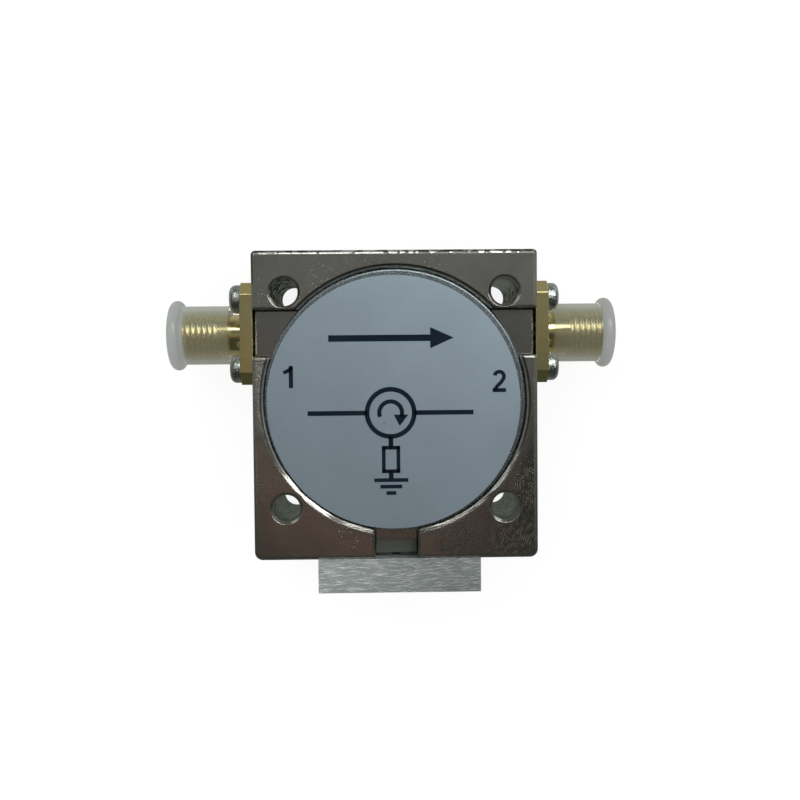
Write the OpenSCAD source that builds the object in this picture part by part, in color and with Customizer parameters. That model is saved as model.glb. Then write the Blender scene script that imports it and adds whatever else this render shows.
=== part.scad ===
// Coaxial isolator with two capped threaded ports and a load block, in millimetres.
// Z = 0 is the base, the label faces +Z, the first port faces -X and the load faces -Y.
// The origin lies on the cavity axis, at the centre of the four mounting holes.

/* [Housing] */
// Width of the housing between its two connector faces
body_w = 35; // [34.6:0.1:38]
// Length of the housing from its rear face to its load face
body_l = 38; // [36:0.1:41]
// How far the cavity axis sits behind the middle of the housing
axis_offset = 0.65; // [-0.2:0.05:1.2]
// Thickness of the housing floor under the junction stack
floor_t = 2; // [1.4:0.1:3]
// Radius of the two rear vertical corners
rear_corner_r = 0.5; // [0.4:0.1:1.2]
// Radius of the two vertical corners at the load face
front_corner_r = 1; // [0.5:0.1:1.4]
// Bevel along the top and bottom edges
edge_break = 0.35; // [0.1:0.05:0.4]

/* [Mounting holes] */
// Spacing of the mounting holes across the housing
hole_pitch_x = 27; // [26.8:0.1:28]
// Spacing of the mounting holes along the housing
hole_pitch_y = 26.5; // [26.3:0.1:28]
// Diameter of the mounting holes
hole_d = 3.3; // [2.7:0.1:3.4]
// Bevel round each end of the mounting holes
hole_bevel = 0.35; // [0.3:0.05:0.4]

/* [Cavity] */
// Diameter of the cavity that holds the junction stack
cavity_d = 30.4; // [29.6:0.1:30.8]
// Diameter of the mouth that takes the lid
mouth_d = 32.4; // [31.8:0.1:32.6]
// Bevel round the mouth
mouth_bevel = 0.4; // [0.1:0.05:0.45]
// Height of the mouth's wall below the underside of the lid
mouth_relief = 1; // [0.4:0.1:1.2]

/* [Lid and label] */
// Thickness of the screw-in lid
lid_t = 1.6; // [1.4:0.1:2.4]
// Depth of the lid's face below the top of the housing
lid_recess = 0.4; // [0.2:0.05:0.8]
// Radial gap between the lid and the mouth, where their threads mesh
lid_fit = 0.2; // [0.1:0.05:0.3]
// Bevel round both faces of the lid
lid_bevel = 0.15; // [0.05:0.05:0.25]
// Diameter of the two blind spanner holes in the lid
spanner_d = 1.8; // [1.2:0.1:2.4]
// Depth of the spanner holes
spanner_depth = 1; // [0.4:0.1:1.2]
// Spacing of the spanner holes
spanner_pitch = 22; // [14:1:26]
// Margin of bare lid round a centred label
label_margin = 0.4; // [0.4:0.1:3]
// Thickness of the label
label_t = 0.12; // [0.08:0.02:0.18]
// How far the hand-laid label sits off the lid's centre, across
label_shift_x = -0.2; // [-0.25:0.05:0.25]
// How far the hand-laid label sits off the lid's centre, along
label_shift_y = -0.3; // [-0.3:0.05:0.3]

/* [Junction stack] */
// Thickness of each magnet
magnet_t = 2; // [1.5:0.1:2.6]
// Thickness of each steel pole plate
pole_t = 0.7; // [0.4:0.1:1]
// Diameter of the two ferrite discs
ferrite_d = 22; // [20:0.5:22.5]
// Thickness of each ferrite disc
ferrite_t = 2.5; // [2.3:0.1:3]
// Thickness of the temperature compensation disc
compensator_t = 0.3; // [0.2:0.1:0.8]
// Radial gap between the stack and the cavity wall
stack_fit = 0.15; // [0.05:0.05:0.2]
// Radial gap between a ferrite disc and its spacer ring
ferrite_fit = 0.05; // [0.02:0.01:0.1]
// Bevel round the magnets and the ferrite discs
disc_bevel = 0.2; // [0.05:0.05:0.3]

/* [Centre conductor] */
// Thickness of the centre conductor
conductor_t = 0.3; // [0.2:0.05:0.4]
// Diameter of the conductor's hub
hub_d = 11; // [8:0.5:14]
// Width of the three arms over the ferrite
arm_w = 3; // [2:0.1:4]
// Width of the three pads over the ceramic capacitors
pad_w = 4.6; // [4:0.1:4.8]
// Width of the tuning stubs between the arms
stub_w = 3.6; // [2.4:0.1:4.4]
// Reach of the tuning stubs from the cavity axis
stub_reach = 9.6; // [8.5:0.1:9.8]
// Width of the tabs that meet the port contacts and the load lead
tab_w = 1.8; // [1.4:0.1:2.2]
// Length of each tab's overlap with what is soldered to it
tab_lap = 1.2; // [0.8:0.1:1.3]

/* [Ceramic capacitors] */
// Length of each capacitor, away from the cavity axis
chip_l = 2.8; // [2:0.1:3]
// Gap between a ferrite disc and a capacitor
chip_gap = 0.4; // [0.2:0.1:0.5]
// Gap between a capacitor and the walls of its pocket
pocket_fit = 0.1; // [0.05:0.05:0.15]
// How far a conductor pad overhangs the capacitor on each side
pad_lip = 0.1; // [0.05:0.05:0.2]

/* [Ports] */
// Distance of the connector axes from the cavity axis
port_y = 8.3; // [8.2:0.05:8.5]
// Width of the slots that open the side walls to the connectors
slot_w = 5.7; // [5.5:0.1:6]
// Radius of the corners at the free ends of the cut walls
slot_corner_r = 0.6; // [0.3:0.1:0.7]
// Bevel along the top edges of the slots
slot_bevel = 0.25; // [0.1:0.05:0.3]
// Gap between a slot and the plug that fills it
plug_fit = 0.08; // [0.04:0.02:0.12]
// Gap between a port plug and the connector's flange
plug_gap = 0.2; // [0.1:0.05:0.4]
// Gap between the tops of the slot plugs and the lid
plug_drop = 0.2; // [0.1:0.05:0.6]
// Radial gap between the insulator and the channel round it
channel_fit = 0.1; // [0.05:0.05:0.15]

/* [Connectors] */
// Width of the square flange
flange_w = 12.7; // [12.4:0.1:13.2]
// Thickness of the flange
flange_t = 1.6; // [1.3:0.1:2]
// Bevel across the four corners of the flange
flange_chamfer = 1.5; // [0.8:0.05:1.6]
// Spacing of the flange screws both ways
screw_pitch = 8.64; // [8.6:0.02:8.8]
// Length of the barrel in front of the flange
barrel_l = 7.95; // [7.6:0.05:8.6]
// Outer diameter of the barrel's thread
thread_d = 6.35; // [6.2:0.05:6.5]
// Diameter of the neck between the flange and the thread
neck_d = 5.3; // [5.1:0.05:5.6]
// Length of the neck
neck_l = 3.5; // [3:0.05:4]
// Bevel at both ends of the thread
thread_bevel = 0.3; // [0.1:0.05:0.4]
// Diameter of the recess in the mouth of the barrel
recess_d = 4.6; // [4.5:0.05:4.8]
// Depth of the recess in the mouth of the barrel
recess_depth = 1.95; // [1.6:0.05:2.2]
// Diameter of the insulator
insulator_d = 4.1; // [3.9:0.05:4.2]
// How far the insulator reaches into the housing wall
insulator_in = 1.2; // [0.8:0.1:1.6]
// Diameter of the centre contact
contact_d = 1.27; // [1.1:0.01:1.4]
// Bore of the contact's socket
socket_d = 0.94; // [0.8:0.01:0.96]
// Depth of the contact's socket
socket_depth = 3; // [2:0.1:3.4]
// Width of the two crossed slits in the socket
slit_w = 0.2; // [0.1:0.05:0.3]
// Radial gap between contact, insulator and connector body
sleeve_fit = 0.02; // [0.01:0.01:0.04]

/* [Screws] */
// Diameter of the screw shanks
shank_d = 2; // [1.8:0.1:2.1]
// Diameter of the flange screws' pan heads
head_d = 3.56; // [3.2:0.02:3.7]
// Height of the flange screws' pan heads
head_h = 1.4; // [1.2:0.05:1.7]
// Radius of the rounded shoulder of a pan head
head_round = 0.75; // [0.4:0.05:0.9]
// Radial gap between a screw and its tapped hole
tap_fit = 0.05; // [0.03:0.01:0.08]
// Radial gap between a flange screw and its clearance hole
clearance_fit = 0.2; // [0.1:0.05:0.3]
// Depth that the flange screws enter the side wall
flange_grip = 1.4; // [1:0.1:1.5]
// Space left below the end of each screw
tap_relief = 0.2; // [0.1:0.05:0.25]
// Depth of the cross recess in each screw head
cross_depth = 0.8; // [0.4:0.05:0.9]
// Width of the cross recess's wings
cross_w = 0.5; // [0.3:0.05:0.6]
// Span of the cross recess over its wings
cross_span = 2; // [1.4:0.1:2.2]

/* [Dust caps] */
// Outer diameter of the cap's tube
cap_d = 7.54; // [7.3:0.02:7.8]
// Overall length of the cap
cap_l = 8.05; // [7.6:0.05:8.6]
// Thickness of the closed end at its centre
cap_end_t = 1.4; // [1.1:0.05:1.6]
// Diameter over the rounded rim
cap_rim_d = 9; // [8.8:0.02:9.4]
// Radius of the rounded rim
cap_rim_r = 0.8; // [0.7:0.02:0.9]
// Height of the domed end above the tangent of its rim
cap_dome = 0.4; // [0.2:0.02:0.6]
// Radial gap between the cap and the thread
cap_fit = 0.05; // [0.03:0.01:0.08]
// How far the cap on the first port stands off its stop
cap_back_off = 0.65; // [0:0.05:1.2]

/* [Load] */
// Width of the load block
load_w = 20.1; // [18:0.1:22]
// How far the load block stops short of the base and of the top
load_inset = 0.2; // [0.1:0.1:1]
// Thickness of the load block
load_t = 4.2; // [3:0.05:5]
// How far the load block sits off the cavity axis, across
load_shift = 0.35; // [-0.4:0.05:0.4]
// Width of the slot behind the load block
load_slot_w = 5.25; // [5.1:0.05:5.8]
// Width of the load resistor
resistor_w = 4.6; // [4:0.1:4.8]
// Height of the load resistor
resistor_h = 5; // [4.4:0.1:5.2]
// Thickness of the load resistor
resistor_t = 0.95; // [0.7:0.05:1.2]
// Bevel round the load resistor's free face
resistor_bevel = 0.1; // [0.05:0.05:0.2]
// Width of the lead between the load resistor and the junction
lead_w = 1.6; // [1.2:0.1:2]
// Thickness of the lead
lead_t = 0.2; // [0.1:0.05:0.3]
// Width of the channel round the lead
lead_channel_w = 3.2; // [3:0.1:3.6]
// Bevel along the outer edge of the load plug
nose_bevel = 0.4; // [0.2:0.05:0.6]
// Width of the small notch in the outer edge of the load plug
notch_w = 1; // [0.6:0.1:1.4]
// Depth of the small notch
notch_depth = 0.3; // [0.2:0.05:0.5]
// Spacing of the two load screws
load_screw_pitch = 14.4; // [13:0.1:15]
// Diameter of the load screws' countersunk heads
load_head_d = 3.8; // [3.4:0.1:4]
// Depth that the load screws enter the housing
load_grip = 3; // [2:0.1:4]

/* [Hidden] */
$fn = 96;
cut = 0.1;
rear_y = body_l / 2 - axis_offset;
body_front = body_l / 2 + axis_offset;
cavity_r = cavity_d / 2;
mouth_r = mouth_d / 2;
disc_r = cavity_r - stack_fit;
ferrite_r = ferrite_d / 2;

// Heights of the stack, from the floor of the cavity to the top of the housing
lower_pole_z = floor_t + magnet_t;
lower_ferrite_z = lower_pole_z + pole_t;
conductor_z = lower_ferrite_z + ferrite_t;
axis_z = conductor_z + conductor_t;
upper_pole_z = axis_z + ferrite_t;
upper_magnet_z = upper_pole_z + pole_t;
compensator_z = upper_magnet_z + magnet_t;
lid_z = compensator_z + compensator_t;
lid_top_z = lid_z + lid_t;
body_h = lid_top_z + lid_recess;
lid_r = mouth_r - lid_fit;

// Places along a port, measured from the cavity axis
contact_r = contact_d / 2;
insulator_r = insulator_d / 2;
face_x = body_w / 2;
flange_x = face_x + flange_t;
tip_x = flange_x + barrel_l;
insulator_front_x = tip_x - recess_depth;
contact_rear_x = sqrt(pow(cavity_r, 2) - pow(port_y - contact_r, 2));
flat_l = tab_lap + cut;
channel_r = insulator_r + channel_fit;
slot_z = axis_z - channel_r;
plug_top_z = lid_z - plug_drop;
cap_mouth_x = tip_x + cap_end_t - cap_l;

// Places of the load, measured from the cavity axis
load_slot_z = axis_z - resistor_h / 2 - plug_fit;
load_pocket_z = axis_z + resistor_h / 2 + plug_fit;
resistor_y = body_front - resistor_t;
load_plug_y = resistor_y - plug_fit;
load_tab_y = cavity_r + tab_lap;

// The arms aim at the places where the port slots open into the cavity
port_angle = asin(port_y / cavity_r);
arm_angles = [port_angle, 180 - port_angle, 270];
stub_angles = [90, (port_angle - 90) / 2, 180 - (port_angle - 90) / 2];
chip_w = pad_w - 2 * pad_lip;
chip_in_r = ferrite_r + chip_gap;
chip_out_r = chip_in_r + chip_l;

// Shared shapes

// A disc with bevelled rims, standing on z = 0
module bevelled_disc(radius, height, bevel) {
    rotate_extrude()
        polygon([
            [0, 0],
            [radius - bevel, 0],
            [radius, bevel],
            [radius, height - bevel],
            [radius - bevel, height],
            [0, height]
        ]);
}

// A flat ring, standing on z = 0
module flat_ring(outer, inner, height) {
    difference() {
        cylinder(r = outer, h = height);
        translate([0, 0, -cut])
            cylinder(r = inner, h = height + 2 * cut);
    }
}

// What is left outside a quarter circle in a corner at the origin
module corner_waste(radius, height) {
    difference() {
        translate([-cut, -cut, 0])
            cube([radius + cut, radius + cut, height]);
        translate([radius, radius, -cut])
            cylinder(r = radius, h = height + 2 * cut);
    }
}

// A long 45 degree cutter that bevels a straight edge along X, at the origin
module edge_cutter(length, bevel) {
    rotate([45, 0, 0])
        cube([length, bevel * sqrt(2), bevel * sqrt(2)], center = true);
}

// A quarter ring that bevels the rim of a rounded vertical corner about the origin
module corner_cutter(radius, bevel) {
    reach = radius + cut;
    rotate_extrude(angle = 90)
        intersection() {
            polygon([
                [radius - bevel - cut, cut],
                [reach, cut],
                [reach, -bevel - cut]
            ]);
            translate([0, -reach])
                square([reach, 2 * reach]);
        }
}

// A cross recess that opens at z = 0 and narrows downwards
module cross_recess() {
    intersection() {
        union() {
            for (turn = [0, 90])
                rotate([0, 0, turn])
                    translate([-cross_span, -cross_w / 2, -cross_depth])
                        cube([2 * cross_span, cross_w, cross_depth + cut]);
        }
        translate([0, 0, -cross_depth])
            cylinder(r1 = cross_w, r2 = cross_span / 2, h = cross_depth + cut);
    }
}

// A pan head screw that seats at z = 0, with its head above
module pan_screw(grip) {
    difference() {
        union() {
            rotate_extrude()
                intersection() {
                    union() {
                        square([head_d / 2 - head_round, head_h]);
                        square([head_d / 2, head_h - head_round]);
                        translate([head_d / 2 - head_round, head_h - head_round])
                            circle(r = head_round);
                    }
                    square([head_d / 2, head_h]);
                }
            translate([0, 0, -grip])
                cylinder(d = shank_d, h = grip + cut);
        }
        translate([0, 0, head_h])
            cross_recess();
    }
}

// A countersunk screw whose flat head ends at z = 0
module countersunk_screw(length) {
    head_drop = (load_head_d - shank_d) / 2;
    difference() {
        union() {
            translate([0, 0, -head_drop])
                cylinder(d1 = shank_d, d2 = load_head_d, h = head_drop);
            translate([0, 0, -length])
                cylinder(d = shank_d, h = length - head_drop + cut);
        }
        cross_recess();
    }
}

// Puts its children at the four flange screws, facing outwards along +X
module at_flange_screws(x) {
    for (side = [-1, 1], level = [-1, 1])
        translate([x, port_y + side * screw_pitch / 2, axis_z + level * screw_pitch / 2])
            rotate([0, 90, 0])
                children();
}

// Puts its children at the two load screws, facing outwards along -Y
module at_load_screws(y) {
    for (side = [-1, 1])
        translate([load_shift + side * load_screw_pitch / 2, -y, axis_z])
            rotate([90, 0, 0])
                children();
}

// Puts its children on a port's axis, with their own axis along +X
module on_port_axis(x) {
    translate([x, port_y, axis_z])
        rotate([0, 90, 0])
            children();
}

// Housing

// The outer block with rounded vertical corners and bevelled rims
module outer_block() {
    difference() {
        translate([-face_x, -body_front, 0])
            cube([body_w, body_l, body_h]);
        for (side = [0, 1])
            mirror([side, 0, 0]) {
                translate([-face_x, -body_front, -cut])
                    corner_waste(front_corner_r, body_h + 2 * cut);
                translate([-face_x, rear_y, -cut])
                    mirror([0, 1, 0])
                        corner_waste(rear_corner_r, body_h + 2 * cut);
            }
        rim_cutters();
        translate([0, 0, body_h])
            mirror([0, 0, 1])
                rim_cutters();
    }
}

// Bevels round the bottom rim
module rim_cutters() {
    for (side = [0, 1])
        mirror([side, 0, 0]) {
            translate([face_x, 0, 0])
                rotate([0, 0, 90])
                    edge_cutter(2 * body_l, edge_break);
            translate([face_x - rear_corner_r, rear_y - rear_corner_r, 0])
                mirror([0, 0, 1])
                    corner_cutter(rear_corner_r, edge_break);
            translate([face_x - front_corner_r, front_corner_r - body_front, 0])
                mirror([0, 0, 1])
                    mirror([0, 1, 0])
                        corner_cutter(front_corner_r, edge_break);
        }
    translate([0, rear_y, 0])
        edge_cutter(2 * body_w, edge_break);
    translate([0, -body_front, 0])
        edge_cutter(2 * body_w, edge_break);
}

// The stepped bore that takes the stack and the lid
module cavity() {
    mouth_z = lid_z - mouth_relief;
    rotate_extrude()
        polygon([
            [0, floor_t],
            [cavity_r, floor_t],
            [cavity_r, mouth_z],
            [mouth_r, mouth_z],
            [mouth_r, body_h - mouth_bevel],
            [mouth_r + mouth_bevel + cut, body_h + cut],
            [0, body_h + cut]
        ]);
}

// A slot through the wall in +X, with rounded corners at its free lower wall
module port_slot() {
    slot_top = body_h + cut;
    wall_y = port_y - slot_w / 2;
    mouth_x = sqrt(pow(mouth_r, 2) - pow(wall_y, 2));
    translate([cavity_r / 2, wall_y, slot_z])
        cube([face_x, slot_w, slot_top - slot_z]);
    translate([face_x, wall_y, slot_z])
        mirror([1, 0, 0])
            mirror([0, 1, 0])
                corner_waste(slot_corner_r, slot_top - slot_z);
    translate([mouth_x, wall_y, lid_z])
        mirror([0, 1, 0])
            corner_waste(slot_corner_r, slot_top - lid_z);
    translate([face_x, port_y + slot_w / 2, body_h])
        edge_cutter(body_w, slot_bevel);
    translate([(mouth_x + face_x) / 2, wall_y, body_h])
        edge_cutter(face_x - mouth_x - 2 * slot_corner_r, slot_bevel);
    translate([face_x - slot_corner_r, wall_y - slot_corner_r, body_h])
        corner_cutter(slot_corner_r, slot_bevel);
    translate([mouth_x + slot_corner_r, wall_y - slot_corner_r, body_h])
        mirror([1, 0, 0])
            corner_cutter(slot_corner_r, slot_bevel);
}

// The slot through the wall in -Y, with rounded corners at the mouth
module load_slot() {
    slot_top = body_h + cut;
    corner_y = sqrt(pow(mouth_r, 2) - pow(load_slot_w / 2, 2));
    translate([-load_slot_w / 2, -body_front - cut, load_slot_z])
        cube([load_slot_w, body_front - cavity_r / 2, slot_top - load_slot_z]);
    for (side = [0, 1])
        mirror([side, 0, 0]) {
            translate([load_slot_w / 2, -corner_y, lid_z])
                mirror([0, 1, 0])
                    corner_waste(slot_corner_r, slot_top - lid_z);
            translate([load_slot_w / 2, -corner_y - slot_corner_r - body_l / 2, body_h])
                rotate([0, 0, 90])
                    edge_cutter(body_l, slot_bevel);
            translate([load_slot_w / 2 + slot_corner_r, -corner_y - slot_corner_r, body_h])
                mirror([1, 0, 0])
                    corner_cutter(slot_corner_r, slot_bevel);
        }
}

// A through hole with a bevel at each end
module mounting_hole() {
    wide_r = hole_d / 2 + hole_bevel + cut;
    translate([0, 0, -cut])
        cylinder(d = hole_d, h = body_h + 2 * cut);
    translate([0, 0, body_h - hole_bevel])
        cylinder(r1 = hole_d / 2, r2 = wide_r, h = hole_bevel + cut);
    translate([0, 0, -cut])
        cylinder(r1 = wide_r, r2 = hole_d / 2, h = hole_bevel + cut);
}

module housing() {
    color("dimgray")
        difference() {
            outer_block();
            cavity();
            load_slot();
            for (side = [0, 1])
                mirror([side, 0, 0]) {
                    port_slot();
                    at_flange_screws(face_x - flange_grip - tap_relief)
                        cylinder(r = shank_d / 2 + tap_fit, h = flange_grip + body_w);
                }
            at_load_screws(body_front - load_grip - tap_relief)
                cylinder(r = shank_d / 2 + tap_fit, h = load_grip + body_w);
            for (side = [-1, 1], row = [-1, 1])
                translate([side * hole_pitch_x / 2, row * hole_pitch_y / 2, 0])
                    mounting_hole();
        }
}

// Lid and label

module lid() {
    color("gray")
        translate([0, 0, lid_z])
            difference() {
                bevelled_disc(lid_r, lid_t, lid_bevel);
                for (side = [-1, 1])
                    translate([side * spanner_pitch / 2, 0, lid_t - spanner_depth])
                        cylinder(d = spanner_d, h = spanner_depth + cut);
            }
}

module label() {
    color("lightsteelblue")
        translate([label_shift_x, label_shift_y, lid_top_z])
            cylinder(r = lid_r - label_margin, h = label_t);
}

// Junction stack

module magnet(z) {
    color("darkslategray")
        translate([0, 0, z])
            bevelled_disc(disc_r, magnet_t, disc_bevel);
}

module pole_plate(z) {
    color("silver")
        translate([0, 0, z])
            cylinder(r = disc_r, h = pole_t);
}

module ferrite(z) {
    color("black")
        translate([0, 0, z])
            bevelled_disc(ferrite_r, ferrite_t, disc_bevel);
}

// The lower ring has a pocket for each capacitor
module lower_spacer_ring() {
    color("white")
        difference() {
            translate([0, 0, lower_ferrite_z])
                flat_ring(disc_r, ferrite_r + ferrite_fit, ferrite_t);
            for (turn = arm_angles)
                rotate([0, 0, turn])
                    translate([ferrite_r - cut, -chip_w / 2 - pocket_fit, lower_ferrite_z - cut])
                        cube([chip_out_r + pocket_fit - ferrite_r + cut, chip_w + 2 * pocket_fit,
                            ferrite_t + 2 * cut]);
        }
}

module upper_spacer_ring() {
    color("white")
        translate([0, 0, axis_z])
            flat_ring(disc_r, ferrite_r + ferrite_fit, ferrite_t);
}

module capacitor(turn) {
    color("tan")
        rotate([0, 0, turn])
            translate([chip_in_r, -chip_w / 2, lower_ferrite_z])
                cube([chip_l, chip_w, ferrite_t]);
}

// A hub with three arms that widen over the capacitors, three stubs and three tabs
module conductor_outline() {
    tab_root_x = chip_in_r * cos(port_angle);
    tab_tip_x = contact_rear_x + tab_lap;
    circle(d = hub_d);
    for (turn = arm_angles)
        rotate(turn) {
            translate([0, -arm_w / 2])
                square([chip_in_r, arm_w]);
            translate([chip_in_r - pad_lip, -pad_w / 2])
                square([chip_l + 2 * pad_lip, pad_w]);
        }
    for (turn = stub_angles)
        rotate(turn) {
            translate([0, -stub_w / 2])
                square([stub_reach - stub_w / 2, stub_w]);
            translate([stub_reach - stub_w / 2, 0])
                circle(d = stub_w);
        }
    for (side = [-1, 1])
        translate([side * (tab_root_x + tab_tip_x) / 2, port_y])
            square([tab_tip_x - tab_root_x, tab_w], center = true);
    translate([-tab_w / 2, -load_tab_y])
        square([tab_w, load_tab_y - chip_in_r]);
}

module centre_conductor() {
    color("gold")
        translate([0, 0, conductor_z])
            linear_extrude(conductor_t)
                conductor_outline();
}

module compensation_disc() {
    color("silver")
        translate([0, 0, compensator_z])
            cylinder(r = disc_r, h = compensator_t);
}

// Connectors, drawn for the port in +X

// The section of the barrel, from the flange's face at z = 0 to its tip
module barrel_section() {
    thread_r = thread_d / 2;
    neck_r = neck_d / 2;
    bore_r = insulator_r + sleeve_fit;
    thread_z = neck_l + thread_bevel;
    polygon([
        [bore_r, -cut],
        [neck_r, -cut],
        [neck_r, neck_l - (thread_r - neck_r) + thread_bevel],
        [thread_r - thread_bevel, neck_l],
        [thread_r, thread_z],
        [thread_r, barrel_l - thread_bevel],
        [thread_r - thread_bevel, barrel_l],
        [recess_d / 2, barrel_l],
        [recess_d / 2, barrel_l - recess_depth],
        [bore_r, barrel_l - recess_depth]
    ]);
}

// A square plate with its four corners cut off, in the plane of the flange
module flange_outline() {
    half = flange_w / 2;
    inner = half - flange_chamfer;
    polygon([
        [half, inner],
        [inner, half],
        [-inner, half],
        [-half, inner],
        [-half, -inner],
        [-inner, -half],
        [inner, -half],
        [half, -inner]
    ]);
}

module connector() {
    color("darkgoldenrod")
        difference() {
            union() {
                on_port_axis(face_x)
                    linear_extrude(flange_t)
                        flange_outline();
                on_port_axis(flange_x)
                    rotate_extrude()
                        barrel_section();
            }
            on_port_axis(face_x - cut)
                cylinder(r = insulator_r + sleeve_fit, h = flange_t + 2 * cut);
            at_flange_screws(face_x - cut)
                cylinder(r = shank_d / 2 + clearance_fit, h = flange_t + 2 * cut);
        }
}

module insulator() {
    color("white")
        on_port_axis(face_x - insulator_in)
            flat_ring(insulator_r, contact_r + sleeve_fit, insulator_front_x - face_x + insulator_in);
}

// A slit socket at the front, and a flat at the rear that lies on the junction's tab
module contact() {
    color("gold")
        difference() {
            on_port_axis(contact_rear_x)
                cylinder(r = contact_r, h = insulator_front_x - contact_rear_x);
            on_port_axis(insulator_front_x - socket_depth)
                cylinder(d = socket_d, h = socket_depth + cut);
            on_port_axis(insulator_front_x - socket_depth)
                for (turn = [0, 90])
                    rotate([0, 0, turn])
                        translate([-contact_d, -slit_w / 2, 0])
                            cube([2 * contact_d, slit_w, socket_depth + cut]);
            translate([contact_rear_x - cut, port_y - contact_d, axis_z - contact_d])
                cube([flat_l + cut, 2 * contact_d, contact_d]);
        }
}

module flange_screws() {
    color("lightgray")
        at_flange_screws(flange_x)
            pan_screw(flange_t + flange_grip);
}

// A saddle that stands in the slot and bridges the insulator and the contact
module slot_plug() {
    plug_w = slot_w - 2 * plug_fit;
    color("dimgray")
        difference() {
            translate([0, port_y - plug_w / 2, slot_z])
                cube([face_x - plug_gap, plug_w, plug_top_z - slot_z]);
            translate([0, 0, slot_z - cut])
                cylinder(r = cavity_r, h = plug_top_z);
            on_port_axis(0)
                cylinder(r = channel_r, h = body_w);
            translate([0, port_y - channel_r, slot_z - cut])
                cube([body_w, 2 * channel_r, channel_r + cut]);
        }
}

// A cap with a rounded rim and a domed end, its mouth at z = 0 and its end towards +Z
module dust_cap() {
    rim_x = cap_rim_d / 2 - cap_rim_r;
    rim_z = cap_l - cap_dome - cap_rim_r;
    dome_r = (pow(rim_x, 2) + pow(cap_dome, 2)) / (2 * cap_dome);
    color("gainsboro")
        rotate_extrude()
            difference() {
                union() {
                    square([cap_d / 2, rim_z]);
                    translate([0, rim_z])
                        square([rim_x, cap_rim_r]);
                    translate([rim_x, rim_z])
                        circle(r = cap_rim_r);
                    intersection() {
                        translate([0, cap_l - dome_r])
                            circle(r = dome_r);
                        translate([0, rim_z])
                            square([rim_x, cap_l]);
                    }
                }
                translate([-cut, -cut])
                    square([thread_d / 2 + cap_fit + cut, cap_l - cap_end_t + cut]);
            }
}

// Load

// A sawn block, with countersunk holes for its two screws
module load_block() {
    head_drop = (load_head_d - shank_d) / 2;
    wide_r = load_head_d / 2 + tap_fit;
    color("silver")
        difference() {
            translate([load_shift - load_w / 2, -body_front - load_t, load_inset])
                cube([load_w, load_t, body_h - 2 * load_inset]);
            at_load_screws(body_front - cut)
                cylinder(r = shank_d / 2 + tap_fit, h = load_t + 2 * cut);
            at_load_screws(body_front + load_t - head_drop)
                cylinder(r1 = wide_r - head_drop, r2 = wide_r + cut, h = head_drop + cut);
        }
}

// A ceramic plate on the block's inner face, with bevels round its free face
module load_resistor() {
    color("white")
        translate([-resistor_w / 2, -body_front, axis_z - resistor_h / 2])
            difference() {
                cube([resistor_w, resistor_t, resistor_h]);
                for (level = [0, 1])
                    translate([resistor_w / 2, resistor_t, level * resistor_h])
                        edge_cutter(2 * resistor_w, resistor_bevel);
                for (side = [0, 1])
                    translate([side * resistor_w, resistor_t, resistor_h / 2])
                        rotate([0, 90, 0])
                            edge_cutter(2 * resistor_h, resistor_bevel);
            }
}

// A flat strip that lies on the junction's tab and turns up against the resistor
module load_lead() {
    foot_h = sqrt(pow(lead_channel_w / 2, 2) - pow(lead_w / 2, 2)) - channel_fit;
    color("gold") {
        translate([-lead_w / 2, -resistor_y, axis_z])
            cube([lead_w, resistor_y - cavity_r, lead_t]);
        translate([-lead_w / 2, -resistor_y, axis_z])
            cube([lead_w, lead_t, foot_h]);
    }
}

module load_screws() {
    color("lightgray")
        at_load_screws(body_front + load_t)
            countersunk_screw(load_t + load_grip);
}

// A saddle whose bevelled nose reaches over the resistor, with a small notch in its outer edge
module load_slot_plug() {
    plug_w = load_slot_w - 2 * plug_fit;
    channel_top_r = lead_channel_w / 2;
    nose_y = body_front - plug_fit;
    color("dimgray")
        difference() {
            translate([-plug_w / 2, -nose_y, load_slot_z])
                cube([plug_w, nose_y, plug_top_z - load_slot_z]);
            translate([0, 0, load_slot_z - cut])
                cylinder(r = cavity_r, h = plug_top_z);
            translate([-body_w / 2, -load_plug_y - body_l, load_slot_z - cut])
                cube([body_w, body_l, load_pocket_z - load_slot_z + cut]);
            translate([0, -nose_y, plug_top_z])
                edge_cutter(body_w, nose_bevel);
            translate([0, 0, axis_z])
                rotate([90, 0, 0])
                    cylinder(r = channel_top_r, h = body_l);
            translate([-channel_top_r, -body_l, load_slot_z - cut])
                cube([lead_channel_w, body_l, axis_z - load_slot_z + cut]);
            translate([-notch_w / 2, -nose_y - cut, axis_z])
                cube([notch_w, notch_depth + cut, plug_top_z]);
        }
}

housing();
lid();
label();
magnet(floor_t);  // lower_magnet
pole_plate(lower_pole_z);  // lower_pole_plate
ferrite(lower_ferrite_z);  // lower_ferrite
lower_spacer_ring();
capacitor(arm_angles[0]);  // right_capacitor
capacitor(arm_angles[1]);  // left_capacitor
capacitor(arm_angles[2]);  // load_capacitor
centre_conductor();
ferrite(axis_z);  // upper_ferrite
upper_spacer_ring();
pole_plate(upper_pole_z);  // upper_pole_plate
magnet(upper_magnet_z);  // upper_magnet
compensation_disc();
mirror([1, 0, 0]) connector();  // left_connector
mirror([1, 0, 0]) insulator();  // left_insulator
mirror([1, 0, 0]) contact();  // left_contact
mirror([1, 0, 0]) flange_screws();  // left_flange_screws
mirror([1, 0, 0]) slot_plug();  // left_slot_plug
mirror([1, 0, 0]) on_port_axis(cap_mouth_x + cap_back_off) dust_cap();  // left_dust_cap
connector();  // right_connector
insulator();  // right_insulator
contact();  // right_contact
flange_screws();  // right_flange_screws
slot_plug();  // right_slot_plug
on_port_axis(cap_mouth_x) dust_cap();  // right_dust_cap
load_block();
load_resistor();
load_lead();
load_screws();
load_slot_plug();
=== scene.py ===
"""Looks of a coaxial isolator: a nickel plated housing with a screwed-in lid and its label,
two gold plated threaded jacks under translucent dust caps, and a sawn load block in front."""

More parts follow.
